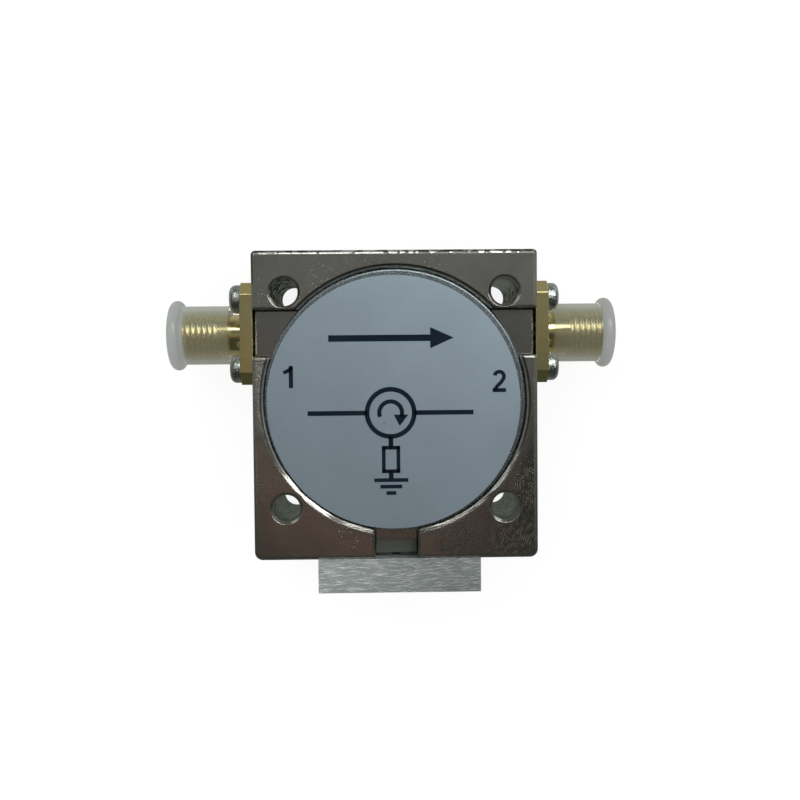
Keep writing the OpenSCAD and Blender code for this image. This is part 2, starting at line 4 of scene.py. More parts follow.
import logging
import math
from dataclasses import dataclass, field
from enum import Enum
from typing import Callable, Sequence

import bpy
import numpy as np
from mathutils import Matrix, Vector


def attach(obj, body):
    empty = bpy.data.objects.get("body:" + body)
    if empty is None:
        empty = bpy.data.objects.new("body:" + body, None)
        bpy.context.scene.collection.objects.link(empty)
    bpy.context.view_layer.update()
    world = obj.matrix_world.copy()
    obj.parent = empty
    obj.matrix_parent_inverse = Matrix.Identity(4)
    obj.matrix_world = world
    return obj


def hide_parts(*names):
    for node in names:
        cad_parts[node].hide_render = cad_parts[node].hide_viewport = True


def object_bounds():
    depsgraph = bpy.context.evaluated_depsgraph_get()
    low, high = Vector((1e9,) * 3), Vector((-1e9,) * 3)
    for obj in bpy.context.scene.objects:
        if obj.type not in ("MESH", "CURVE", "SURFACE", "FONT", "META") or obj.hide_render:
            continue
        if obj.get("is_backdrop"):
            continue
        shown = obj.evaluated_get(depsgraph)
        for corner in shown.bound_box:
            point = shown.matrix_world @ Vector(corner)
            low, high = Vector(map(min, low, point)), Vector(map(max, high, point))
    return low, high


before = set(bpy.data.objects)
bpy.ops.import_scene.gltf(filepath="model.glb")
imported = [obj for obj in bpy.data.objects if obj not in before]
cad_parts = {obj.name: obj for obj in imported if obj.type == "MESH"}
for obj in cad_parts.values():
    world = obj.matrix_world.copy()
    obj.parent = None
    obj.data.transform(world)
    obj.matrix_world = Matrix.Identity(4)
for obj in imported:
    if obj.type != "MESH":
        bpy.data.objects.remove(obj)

LOG = logging.getLogger("isolator")
MM = 0.001
BODY = "root"
PIXELS = 800
# Place along Y and height of the axis that both ports share
PORT_AXIS = (8.3, 7.5)
# Edges that turn by more than this stay sharp
SHARP = math.radians(32)
# The least cosine of half a corner's turn at which a line still keeps its width
LEAST_COSINE = 0.35

Point = tuple[float, float]
Colour = tuple[float, float, float]
Pair = tuple[Colour, Colour]
# The middle of a band, half its width and its soft margin
Band = tuple[float, float, float]
# An outline in X and Y with its lowest and highest level
Plate = tuple[np.ndarray, float, float]


# Surfaces worked out with numpy


class Side(Enum):
    """The side of the housing that a port is on."""

    LEFT = -1
    RIGHT = 1

    @property
    def word(self) -> str:
        """The word that the names of this side's nodes start with."""
        return self.name.lower()


@dataclass
class Surface:
    """Points in millimetres with the quads and triangles between them."""

    points: np.ndarray
    quads: np.ndarray = field(default_factory=lambda: np.zeros((0, 4), int))
    triangles: np.ndarray = field(default_factory=lambda: np.zeros((0, 3), int))

    def joined(self, other: "Surface") -> "Surface":
        """Puts another surface beside this one.

        Args:
            other: the surface to add.

        Returns:
            One surface that holds both.
        """
        shift = len(self.points)
        return Surface(
            np.vstack([self.points, other.points]),
            np.vstack([self.quads, other.quads + shift]),
            np.vstack([self.triangles, other.triangles + shift]),
        )

    def outward(self) -> "Surface":
        """Turns the faces outwards: the volume under a closed surface is a sixth of the sum of
        the triple products of its triangles, and it is positive when they point outwards.

        Returns:
            This surface, or the same one with every face turned round.
        """
        first, second, third, fourth = (self.points[self.quads[:, i]] for i in range(4))
        a, b, c = (self.points[self.triangles[:, i]] for i in range(3))
        halves = ((first, second, third), (first, third, fourth), (a, b, c))
        volume = sum(np.einsum("ij,ij->", p, np.cross(q, r)) for p, q, r in halves)
        if volume >= 0:
            return self
        return Surface(self.points, self.quads[:, ::-1], self.triangles[:, ::-1])


def grid_quads(rows: int, columns: int, closed: bool) -> np.ndarray:
    """The quads of a grid whose last row joins its first: each joins a point to the next one
    along, across and both.

    Args:
        rows: points round the axis.
        columns: points along the outline.
        closed: whether the last column joins the first.

    Returns:
        Indices, four to a quad.
    """
    steps = np.arange(columns if closed else columns - 1)
    i, j = np.meshgrid(np.arange(rows), steps, indexing="ij")
    down, along = (i + 1) % rows, (j + 1) % columns
    corners = [i * columns + j, down * columns + j, down * columns + along, i * columns + along]
    return np.stack([c.ravel() for c in corners], axis=1)


def revolve(profile: np.ndarray, steps: int) -> Surface:
    """An open profile turned about Z: the point at radius r and height z goes to
    (r cos t, r sin t, z) for each angle t.

    Args:
        profile: radius and height of each point along the outline.
        steps: steps round the axis.

    Returns:
        The turned surface.
    """
    t = np.linspace(0, 2 * math.pi, steps, endpoint=False)[:, None]
    r, z = profile[None, :, 0], profile[None, :, 1]
    points = np.stack([r * np.cos(t), r * np.sin(t), z + 0 * t], axis=-1).reshape(-1, 3)
    return Surface(points, grid_quads(steps, len(profile), False))


@dataclass(frozen=True)
class Thread:
    """A right-handed thread round Z, with flats at its crests and roots."""

    crest_r: float
    depth: float
    pitch: float
    start: float
    end: float
    bevel: float
    inner_r: float
    steps: int = 96
    per_pitch: int = 14
    crest_flat: float = 0.18
    root_flat: float = 0.22
    least_wall: float = 0.02

    def radius(self, turn: np.ndarray, z: np.ndarray) -> np.ndarray:
        """The radius at an angle and a height: the tooth's phase is the height less the lead
        at that angle, in pitches, and the flank runs straight between the two flats. Both
        ends are limited by a bevel at 45 degrees.

        Args:
            turn: angles as shares of a turn.
            z: heights.

        Returns:
            Radii on the same grid.
        """
        phase = np.abs(np.mod(z / self.pitch - turn, 1.0) * 2 - 1)
        flank = (phase - self.crest_flat) / (1 - self.crest_flat - self.root_flat)
        tooth = self.crest_r - self.depth * np.clip(flank, 0, 1)
        ends = self.crest_r - self.bevel + np.minimum(z - self.start, self.end - z)
        return np.maximum(np.minimum(tooth, ends), self.inner_r + self.least_wall)

    def surface(self) -> Surface:
        """The thread as a grid of angle and height, closed on the inside by a plain bore.

        Returns:
            The closed sleeve.
        """
        rows = int((self.end - self.start) / self.pitch * self.per_pitch) + 1
        z = np.linspace(self.start, self.end, rows)
        turn = np.linspace(0, 1, self.steps, endpoint=False)[:, None]
        bore = np.full((self.steps, 2), self.inner_r)
        r = np.concatenate([self.radius(turn, z[None, :]), bore], axis=1)
        height = np.concatenate([z, [self.end, self.start]])[None, :] + 0 * turn
        angle = 2 * math.pi * turn
        points = np.stack([r * np.cos(angle), r * np.sin(angle), height], axis=-1)
        return Surface(points.reshape(-1, 3), grid_quads(self.steps, rows + 2, True)).outward()


def along_port(surface: Surface, side: Side, x: float) -> Surface:
    """Lays a surface that stands on Z along a port: its Z goes outwards along X.

    Args:
        surface: the surface to lay down.
        side: the port's side.
        x: distance of the surface's base from the cavity axis.

    Returns:
        The surface in its place.
    """
    p = surface.points
    y, z = PORT_AXIS
    laid = np.stack([side.value * (x + p[:, 2]), y + p[:, 0], z + side.value * p[:, 1]], axis=-1)
    return Surface(laid, surface.quads, surface.triangles).outward()


def stroke(path: np.ndarray, width: float | np.ndarray) -> np.ndarray:
    """The outline of a line of some width: each point of the path steps to both sides along
    the mean of its neighbours' normals, longer at a corner so that the width holds.

    Args:
        path: points along the middle of the line.
        width: its width, or one width for each point.

    Returns:
        Points round the outline, anticlockwise or clockwise.
    """
    run = np.diff(path, axis=0)
    run = run / np.linalg.norm(run, axis=1, keepdims=True)
    before, after = np.vstack([run[:1], run]), np.vstack([run, run[-1:]])
    normal = np.stack([-(before + after)[:, 1], (before + after)[:, 0]], axis=1)
    normal = normal / np.linalg.norm(normal, axis=1, keepdims=True)
    square = np.stack([-after[:, 1], after[:, 0]], axis=1)
    reach = np.broadcast_to(width, len(path)) / 2
    reach = reach / np.clip(np.einsum("ij,ij->i", normal, square), LEAST_COSINE, 1)
    return np.vstack([path + normal * reach[:, None], (path - normal * reach[:, None])[::-1]])


def arc(x: float, y: float, radius: float, start: float, end: float, steps: int) -> np.ndarray:
    """Points on a circle between two angles in degrees: its centre plus the radius times the
    cosine and the sine."""
    t = np.radians(np.linspace(start, end, steps))
    return np.stack([x + radius * np.cos(t), y + radius * np.sin(t)], axis=1)


def add_mesh(name: str, surface: Surface, plates: Sequence[Plate] = ()) -> bpy.types.Object:
    """Makes an object at the origin from a surface and any flat plates.

    Args:
        name: the piece's name.
        surface: points in millimetres and their faces.
        plates: flat plates to add to it.

    Returns:
        The new object, smooth but for its sharp edges.
    """
    points = [surface.points]
    faces = [*surface.quads, *surface.triangles]
    count = len(surface.points)
    for outline, low, high in plates:
        x, y = outline[:, 0], outline[:, 1]
        if np.sum(x * np.roll(y, -1) - y * np.roll(x, -1)) < 0:
            outline = outline[::-1]
        n = len(outline)
        level = np.full((n, 1), low)
        points += [np.hstack([outline, level]), np.hstack([outline, level - low + high])]
        ring, onward = count + np.arange(n), count + (np.arange(n) + 1) % n
        faces += [ring[::-1], ring + n]
        faces += list(np.stack([ring, onward, onward + n, ring + n], axis=1))
        count += 2 * n
    mesh = bpy.data.meshes.new(name)
    mesh.from_pydata(np.vstack(points) * MM, [], [list(map(int, f)) for f in faces])
    mesh.validate()
    mesh.shade_smooth()
    mesh.set_sharp_from_angle(angle=SHARP)
    piece = bpy.data.objects.new(name, mesh)
    bpy.context.scene.collection.objects.link(piece)
    return piece


def node_surface(node: str) -> Surface:
    """A copy of a CAD node's mesh with its doubled points merged.

    Args:
        node: the node's name.

    Returns:
        Its points in millimetres and its triangles.
    """
    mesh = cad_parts[node].data
    points = np.zeros(len(mesh.vertices) * 3)
    mesh.vertices.foreach_get("co", points)
    corners = np.zeros(len(mesh.loops), int)
    mesh.loops.foreach_get("vertex_index", corners)
    merged, place = np.unique(np.round(points.reshape(-1, 3) / MM, 4), axis=0, return_inverse=True)
    triangles = place.ravel()[corners].reshape(-1, 3)
    whole = np.all(triangles != np.roll(triangles, 1, axis=1), axis=1)
    return Surface(merged, triangles=triangles[whole])


# Node trees


class Value:
    """What an output in a node tree gives: a number, a vector or a colour. Its operators and
    methods write the nodes that reckon with it."""

    def __init__(self, graph: "Graph", socket: bpy.types.NodeSocket) -> None:
        """Keeps the tree's writer and the output."""
        self.graph, self.socket = graph, socket

    def math(self, operation: str, *others: "Value | float") -> "Value":
        """A Math node's result for this number and others."""
        return self.graph.math(operation, self, *others)

    def __add__(self, other: "Value | float") -> "Value":
        """The sum of two numbers."""
        return self.math("ADD", other)

    def __sub__(self, other: "Value | float") -> "Value":
        """This number less another."""
        return self.math("SUBTRACT", other)

    def __rsub__(self, other: float) -> "Value":
        """Another number less this one."""
        return self.graph.math("SUBTRACT", other, self)

    def __mul__(self, other: "Value | float") -> "Value":
        """The product of two numbers."""
        return self.math("MULTIPLY", other)

    def __truediv__(self, other: "Value | float") -> "Value":
        """This number over another."""
        return self.math("DIVIDE", other)

    def __abs__(self) -> "Value":
        """This number without its sign."""
        return self.math("ABSOLUTE")

    def __gt__(self, other: "Value | float") -> "Value":
        """One where this number is greater."""
        return self.math("GREATER_THAN", other)

    def __lt__(self, other: "Value | float") -> "Value":
        """One where this number is less."""
        return self.math("LESS_THAN", other)

    def most(self, other: "Value | float") -> "Value":
        """The greater of two numbers."""
        return self.math("MAXIMUM", other)

    def between(
        self,
        low: "Value | float",
        high: "Value | float",
        first: "Value | float" = 0.0,
        second: "Value | float" = 1.0,
    ) -> "Value":
        """A smooth step of this number: first below low, second above high."""
        inputs = {"Value": self, "From Min": low, "From Max": high, "To Min": first, "To Max": second}
        return self.graph.value("MapRange", inputs, interpolation_type="SMOOTHSTEP")

    def band(self, middle: float, half: float, soft: float) -> "Value":
        """One within half of the middle, falling to nought over a soft margin."""
        return abs(self - middle).between(half, half + soft, 1.0, 0.0)

    def mix(self, first: "Value | Colour", second: "Value | Colour") -> "Value":
        """The colour between two colours, by this share."""
        return self.graph.value("Mix", {0: self, 6: first, 7: second}, 2, data_type="RGBA")

    def vector(
        self, operation: str, *others: "Value | Sequence[float]", output: int = 0
    ) -> "Value":
        """A Vector Math node's result for this vector and others."""
        inputs = dict(enumerate((self, *others)))
        return self.graph.value("VectorMath", inputs, output, operation=operation)

    def scaled(self, factors: Sequence[float], offset: Colour = (0, 0, 0)) -> "Value":
        """This vector or colour times three factors plus an offset."""
        return self.vector("MULTIPLY_ADD", factors, offset)

    def dimmed(self, share: "Value") -> "Value":
        """This vector or colour times a number."""
        return self.graph.value("VectorMath", {0: self, "Scale": share}, operation="SCALE")

    @property
    def x(self) -> "Value":
        """The first part of this vector."""
        return self.graph.value("SeparateXYZ", {0: self})

    @property
    def y(self) -> "Value":
        """The second part of this vector."""
        return self.graph.value("SeparateXYZ", {0: self}, 1)

    @property
    def z(self) -> "Value":
        """The third part of this vector."""
        return self.graph.value("SeparateXYZ", {0: self}, 2)

    @property
    def flat(self) -> "Value":
        """This vector laid flat on the plan."""
        return self.scaled((1, 1, 0))

    @property
    def length(self) -> "Value":
        """The length of this vector."""
        return self.vector("LENGTH", output=1)

    @property
    def unit(self) -> "Value":
        """This vector at length one."""
        return self.vector("NORMALIZE")

    def noise(self, scale: "Value | float", detail: float = 2.0, rough: float = 0.5) -> "Value":
        """Noise from 0 to 1 over this place, about 0.5 in the middle."""
        inputs = {"Vector": self, "Scale": scale, "Detail": detail, "Roughness": rough}
        return self.graph.value("TexNoise", inputs)


Inputs = dict[str, "Value | float"]


class Graph:
    """Writes a node tree with short calls."""

    def __init__(self, tree: bpy.types.NodeTree) -> None:
        """Keeps the tree that the calls write to."""
        self.tree = tree

    @classmethod
    def of(cls, owner: "bpy.types.Material | bpy.types.World") -> "Graph":
        """The emptied tree of a material or a world.

        Args:
            owner: what the tree belongs to.

        Returns:
            The writer of its tree.
        """
        owner.use_nodes = True
        owner.node_tree.nodes.clear()
        return cls(owner.node_tree)

    def feed(self, socket: bpy.types.NodeSocket, value: "Value | float | Sequence[float]") -> None:
        """Links an input to an output, or sets its own value.

        Args:
            socket: the input.
            value: what an output gives, a number, or the parts of a colour or a vector.
        """
        if isinstance(value, Value):
            self.tree.links.new(value.socket, socket)
        elif socket.type == "RGBA" and len(value) == 3:
            socket.default_value = (*value, 1.0)
        else:
            socket.default_value = value

    def node(self, kind: str, inputs: dict | None = None, **settings: object) -> bpy.types.Node:
        """Adds a node.

        Args:
            kind: its type, without the words ShaderNode.
            inputs: what its inputs get, by their names or numbers.
            settings: the node's own options.

        Returns:
            The new node.
        """
        made = self.tree.nodes.new("ShaderNode" + kind)
        for key, value in settings.items():
            setattr(made, key, value)
        for key, value in (inputs or {}).items():
            self.feed(made.inputs[key], value)
        return made

    def value(
        self, kind: str, inputs: dict | None = None, output: int | str = 0, **settings: object
    ) -> Value:
        """What one output of a new node gives."""
        return Value(self, self.node(kind, inputs, **settings).outputs[output])

    def math(self, operation: str, *values: Value | float, clamp: bool = False) -> Value:
        """A Math node's result for the given numbers."""
        return self.value("Math", dict(enumerate(values)), operation=operation, use_clamp=clamp)

    def triple(self, *parts: Value | float) -> Value:
        """A vector of up to three parts."""
        return self.value("CombineXYZ", dict(enumerate(parts)))


@dataclass(frozen=True)
class Effect:
    """A shader effect that several finishes share, built once as a node group."""

    name: str
    write: Callable[..., dict[str, Value]]
    inputs: dict[str, "float | tuple[float, ...]"]

    def group(self) -> bpy.types.NodeTree:
        """The node group, made at its first use. The kind of an input follows from its value.

        Returns:
            The group with its named inputs and outputs.
        """
        found = bpy.data.node_groups.get(self.name)
        if found:
            return found
        tree = bpy.data.node_groups.new(self.name, "ShaderNodeTree")
        sockets = tree.interface
        for name, default in self.inputs.items():
            size = 1 if isinstance(default, float) else len(default)
            kind = {1: "Float", 3: "Vector", 4: "Color"}[size]
            made = sockets.new_socket(name, in_out="INPUT", socket_type="NodeSocket" + kind)
            made.default_value = default
        graph = Graph(tree)
        entry = tree.nodes.new("NodeGroupInput")
        results = self.write(**{s.name.lower(): Value(graph, s) for s in entry.outputs if s.name})
        for name in results:
            kind = {"Color": "Color", "Normal": "Vector"}.get(name, "Float")
            sockets.new_socket(name, in_out="OUTPUT", socket_type="NodeSocket" + kind)
        leave = tree.nodes.new("NodeGroupOutput")
        for name, value in results.items():
            graph.feed(leave.inputs[name], value)
        return tree

    def use(self, place: Value, **values: "Value | float | Colour") -> dict[str, Value]:
        """Places the effect in a tree with that tree's own values.

        Args:
            place: the coordinates that it reads, in millimetres.
            values: its other inputs.

        Returns:
            What its outputs give, by their names.
        """
        made = place.graph.tree.nodes.new("ShaderNodeGroup")
        made.node_tree = self.group()
        for name, value in {"place": place, **values}.items():
            place.graph.feed(made.inputs[name.title()], value)
        return {output.name: Value(place.graph, output) for output in made.outputs}


def write_grain(place: Value, scale: Value, height: Value) -> dict[str, Value]:
    """Fine grain: noise about zero times its height, and a mask of its peaks."""
    value = place.noise(scale, 3.0, 0.6)
    return {"Height": (value - 0.5) * height, "Mask": value.between(0.52, 0.72)}


def write_pits(place: Value, scale: Value, share: Value, height: Value) -> dict[str, Value]:
    """Small round pits: the middles of those cells whose random number is under the share.

    Args:
        place: the coordinates.
        scale: cells to the millimetre.
        share: how many of the cells hold a pit.
        height: the pit's height at its middle.

    Returns:
        The height and the mask.
    """
    graph, cells = place.graph, {"Vector": place, "Scale": scale}
    chance = graph.value("TexVoronoi", cells, "Color")
    radius = graph.value("SeparateColor", {0: chance}, 1) * 0.16 + 0.07
    off = graph.value("TexVoronoi", cells, "Distance") / radius
    chosen = graph.value("SeparateColor", {0: chance}) < share
    mask = graph.math("SUBTRACT", 1.0, off, clamp=True) * chosen
    return {"Height": mask * height, "Mask": mask}


def write_specks(
    place: Value, scale: Value, level: Value, patch: Value, height: Value
) -> dict[str, Value]:
    """Irregular specks: the peaks of a fine noise, more of them where a slow noise is high
    and where the patch is one.

    Args:
        place: the coordinates.
        scale: the fine noise's scale.
        level: the bar that a peak has to pass.
        patch: where the specks crowd, from 0 to 1.
        height: the height of a speck.

    Returns:
        The height and the mask.
    """
    bar = place.noise(0.22) * -0.3 + (level + 0.15)
    bar = patch * -0.13 + bar
    mask = place.noise(scale, 2.0, 0.55).between(bar, bar + 0.07)
    return {"Height": mask * height, "Mask": mask}


def write_rings(place: Value, scale: Value, height: Value) -> dict[str, Value]:
    """Tool marks round the Z axis: noise along the radius that hardly changes with the angle."""
    line = place.graph.triple(place.flat.length * scale).vector("ADD", place.scaled([0.05] * 3))
    return {"Height": (line.noise(1.0, 3.0, 0.65) - 0.5) * height}


def write_chatter(place: Value, pitch: Value, patch: Value, height: Value) -> dict[str, Value]:
    """The ripples that a milling cutter leaves: a sine of the distance from its centre, bent
    and broken up by noise.

    Args:
        place: the coordinates, with the cutter's centre at the origin.
        pitch: the distance between two crests over a full turn in radians.
        patch: where the ripples show, from 0 to 1.
        height: the height of a crest.

    Returns:
        The height and the mask of the crests.
    """
    reach = place.flat.length + place.flat.noise(0.7) * 0.9
    wave = (reach / pitch).math("SINE")
    size = place.flat.noise(1.4, 3.0).between(0.40, 0.60) * patch
    return {"Height": wave * size * height, "Mask": wave.between(0.0, 0.9) * size}


def write_strokes(place: Value, squeeze: Value, height: Value) -> dict[str, Value]:
    """Long fine scratches along X: noise squeezed hard across them and hardly along them."""
    value = place.vector("MULTIPLY", squeeze).noise(1.0, 4.0, 0.7)
    return {"Height": (value - 0.5) * height, "Mask": value.between(0.54, 0.64)}


def write_edges(place: Value, radius: Value, lift: Value, wide: Value) -> dict[str, Value]:
    """Where an edge is near: how far the normal turns when the corners are rounded off. Lift
    makes broken edges shallow: a slanting normal's height grows by the lift times one less
    its own size, so that flats and walls keep theirs. It acts in places along the edges, and
    all over where wide is one.

    Args:
        place: the coordinates.
        radius: the rounding, in metres.
        lift: how shallow the broken edges become.
        wide: where the lift acts all over, from 0 to 1.

    Returns:
        The mask of the edges and the changed normal.
    """
    graph = place.graph
    rounded = graph.value("Bevel", {"Radius": radius}, samples=6)
    plain = graph.value("NewGeometry", output="Normal")
    mask = rounded.vector("DOT_PRODUCT", plain, output=1).between(0.995, 0.9)
    uneven = place.noise(3.2, 3.0).between(0.43, 0.56, 0.0, 1.1)
    share = (uneven * mask).most(wide)
    stretch = (1.0 - abs(rounded.z)) * (lift * share) + 1.0
    return {"Mask": mask, "Normal": rounded.vector("MULTIPLY", graph.triple(1.0, 1.0, stretch)).unit}


def write_mottle(place: Value, scale: Value, first: Value, second: Value) -> dict[str, Value]:
    """Slow cloudy change between two colours."""
    return {"Color": place.noise(scale, 4.0, 0.6).between(0.3, 0.7).mix(first, second)}


PLACE = {"Place": (0.0, 0.0, 0.0)}
SIZES = {**PLACE, "Scale": 1.0, "Height": MM}
GRAIN = Effect("fine_grain", write_grain, SIZES)
PITS = Effect("small_pits", write_pits, {**SIZES, "Share": 0.1})
SPECKS = Effect("loose_specks", write_specks, {**SIZES, "Level": 0.76, "Patch": 0.0})
RINGS = Effect("turned_rings", write_rings, SIZES)
CHATTER = Effect(
    "cutter_chatter", write_chatter, {**PLACE, "Pitch": 0.04, "Patch": 1.0, "Height": MM}
)
STROKES = Effect(
    "long_strokes", write_strokes, {**PLACE, "Squeeze": (1.0, 10.0, 10.0), "Height": MM}
)
EDGES = Effect("near_edges", write_edges, {**PLACE, "Radius": 0.0001, "Lift": 0.0, "Wide": 0.0})
MOTTLE = Effect(
    "cloudy_mottle",
    write_mottle,
    {**PLACE, "Scale": 1.0, "First": (1.0, 1.0, 1.0, 1.0), "Second": (0.0, 0.0, 0.0, 1.0)},
)


def relief(heights: Sequence[Value], normal: Value | None = None) -> Value:
    """A normal from the sum of several heights in millimetres.

    Args:
        heights: heights to add up.
        normal: the normal to start from, or none.

    Returns:
        The bumped normal.
    """
    inputs = {"Height": sum(heights[1:], heights[0]), "Distance": MM, "Strength": 1.0}
    if normal is not None:
        inputs["Normal"] = normal
    return heights[0].graph.value("Bump", inputs)


def off_port(place: Value) -> Value:
    """The way to a place, straight off the axis of the ports."""
    y, z = PORT_AXIS
    return place.scaled((0, 1, 1), (0, -y, -z))


# Each spot's centre, reach and strength
Spots = tuple[tuple[float, float, float, float], ...]


def spot(place: Value, x: float, y: float, radius: float) -> Value:
    """One at a point of the plan and nought beyond a radius about it."""
    return place.scaled((1, 1, 0), (-x, -y, 0)).length.between(radius, 0.45 * radius)


def highest(place: Value, spots: Spots) -> Value:
    """The highest of several spots.

    Args:
        place: Object coordinates in millimetres.
        spots: the spots.

    Returns:
        The mask of them all.
    """
    mask = 0.0
    for x, y, radius, share in spots:
        mask = (spot(place, x, y, radius) * share).most(mask)
    return mask


# Finishes


@dataclass(frozen=True)
class Finish:
    """A surface finish, written as one material. Lengths in it are millimetres."""

    name: str

    def material(self) -> bpy.types.Material:
        """The material, made at its first use.

        Returns:
            A material on Object coordinates.
        """
        found = bpy.data.materials.get(self.name)
        if found:
            return found
        made = bpy.data.materials.new(self.name)
        graph = Graph.of(made)
        place = graph.value("TexCoord", output="Object").scaled((1000, 1000, 1000))
        shader = graph.value("BsdfPrincipled", self.dress(place))
        graph.node("OutputMaterial", {"Surface": shader})
        return made

    def dress(self, place: Value) -> Inputs:
        """What the shader's inputs get. Each kind of finish has its own way."""
        raise NotImplementedError


@dataclass(frozen=True)
class Plated(Finish):
    """Plated or bare metal: cloudy colour, fine grain, loose specks and brighter edges, partly worn
    and partly a painted highlight. A scale counts to the millimetre, a name in _h is a height, and
    a share says how much of the edges' pale colour, partly a painted glint, the grain, a speck, a
    tool mark or a lump takes on."""

    light: Colour
    dark: Colour
    rough: float = 0.2
    rough_spread: float = 0.1
    metallic: float = 1.0
    gloss: float = 0.5
    cloud: float = 0.25
    grain: float = 6.0
    grain_h: float = 0.002
    grain_share: float = 0.0
    wave: float = 0.9
    wave_h: float = 0.01
    speck_scale: float = 4.0
    speck_level: float = 0.78
    speck_h: float = -0.02
    speck_rough: float = 0.2
    speck_share: float = 0.0
    edge_r: float = 0.12
    edge_share: float = 0.5
    # The pale colour of edges, grain peaks, specks, crests and lumps: partly wear, partly painted
    # highlight
    edge_colour: Colour = (0.8, 0.78, 0.74)
    edge_rough: float = 0.5
    edge_lift: float = 0.0
    mark_share: float = 0.5
    mark_rough: float = 0.0
    lump: float = 6.5
    lump_h: float = 0.0
    lump_share: float = 0.0
    # The strength of the painted glow where the metal is dull
    painted_glow: float = 0.0

    def patch(self, place: Value) -> "Value | float":
        """Where the specks crowd, from 0 to 1."""
        return 0.0

    def wide(self, place: Value) -> "Value | float":
        """Where the edges are shallow over their whole width, from 0 to 1."""
        return 0.0

    def reach(self, place: Value) -> "Value | float":
        """The rounding of the edges, in metres."""
        return self.edge_r * MM

    def coarse(self, place: Value) -> Value | None:
        """Where the metal has a coarse grain, from 0 to 1, or none."""
        return None

    def bend(self, place: Value, normal: Value) -> Value:
        """A change of the normal by the place on the piece."""
        return normal

    def dull_and_glow(self, place: Value) -> Value | None:
        """One where the metal doesn't shine and glows with painted light, or none."""
        return None

    def marks(self, place: Value) -> list[tuple[Value, Value | None]]:
        """Heights of the tool marks that this metal carries besides its grain, each with the
        mask of its bright crests, or none."""
        return []

    def tint(self, place: Value, colour: Value, rough: Value) -> tuple[Value, Value]:
        """A last change of colour and roughness by the place on the piece."""
        return colour, rough

    def dress(self, place: Value) -> Inputs:
        """Adds grain, specks, marks and pale edges, partly worn and partly a painted highlight, to
        the clouds of the metal.

        Args:
            place: Object coordinates in millimetres.

        Returns:
            What a metallic shader's inputs get.
        """
        cloud = MOTTLE.use(place, scale=self.cloud, first=self.light, second=self.dark)
        grain = GRAIN.use(place, scale=self.grain, height=self.grain_h)
        wave = GRAIN.use(place, scale=self.wave, height=self.wave_h)
        specks = SPECKS.use(
            place,
            scale=self.speck_scale,
            level=self.speck_level,
            patch=self.patch(place),
            height=self.speck_h,
        )
        edges = EDGES.use(
            place, radius=self.reach(place), lift=self.edge_lift, wide=self.wide(place)
        )
        colour = (grain["Mask"] * self.grain_share).mix(cloud["Color"], self.edge_colour)
        colour = (specks["Mask"] * self.speck_share).mix(colour, self.edge_colour)
        rough = grain["Mask"] * self.rough_spread + self.rough
        rough = specks["Mask"] * self.speck_rough + rough
        heights = [grain["Height"], wave["Height"], specks["Height"]]
        marks = self.marks(place)
        coarse = self.coarse(place)
        if coarse is not None:
            lumps = GRAIN.use(place, scale=self.lump, height=coarse * self.lump_h)
            marks = [(lumps["Height"], None), *marks]
            share = lumps["Mask"] * coarse * self.lump_share
            colour = share.mix(colour, self.edge_colour)
            rough = share * self.mark_rough + rough
        for height, crest in marks:
            heights.append(height)
            if crest is not None:
                colour = (crest * self.mark_share).mix(colour, self.edge_colour)
                rough = crest * self.mark_rough + rough
        # Pale edges in broken stretches: partly wear, partly painted highlight
        broken = place.noise(2.6, 3.0).between(0.40, 0.62, 0.15, 1.0)
        pale_edge = edges["Mask"] * broken * self.edge_share
        colour = pale_edge.mix(colour, self.edge_colour)
        rough = pale_edge * self.edge_rough + rough
        colour, rough = self.tint(place, colour, rough)
        found = {
            "Base Color": colour,
            "Roughness": rough,
            "Metallic": self.metallic,
            "Specular IOR Level": self.gloss,
            "Normal": relief(heights, self.bend(place, edges["Normal"])),
        }
        # Painted light: where the metal is dull it glows with its own colour
        dull_and_glow = self.dull_and_glow(place)
        if dull_and_glow is not None:
            found["Metallic"] = (1.0 - dull_and_glow) * self.metallic
            found["Emission Color"] = dull_and_glow.mix((0.0, 0.0, 0.0), colour)
            found["Emission Strength"] = self.painted_glow
        return found


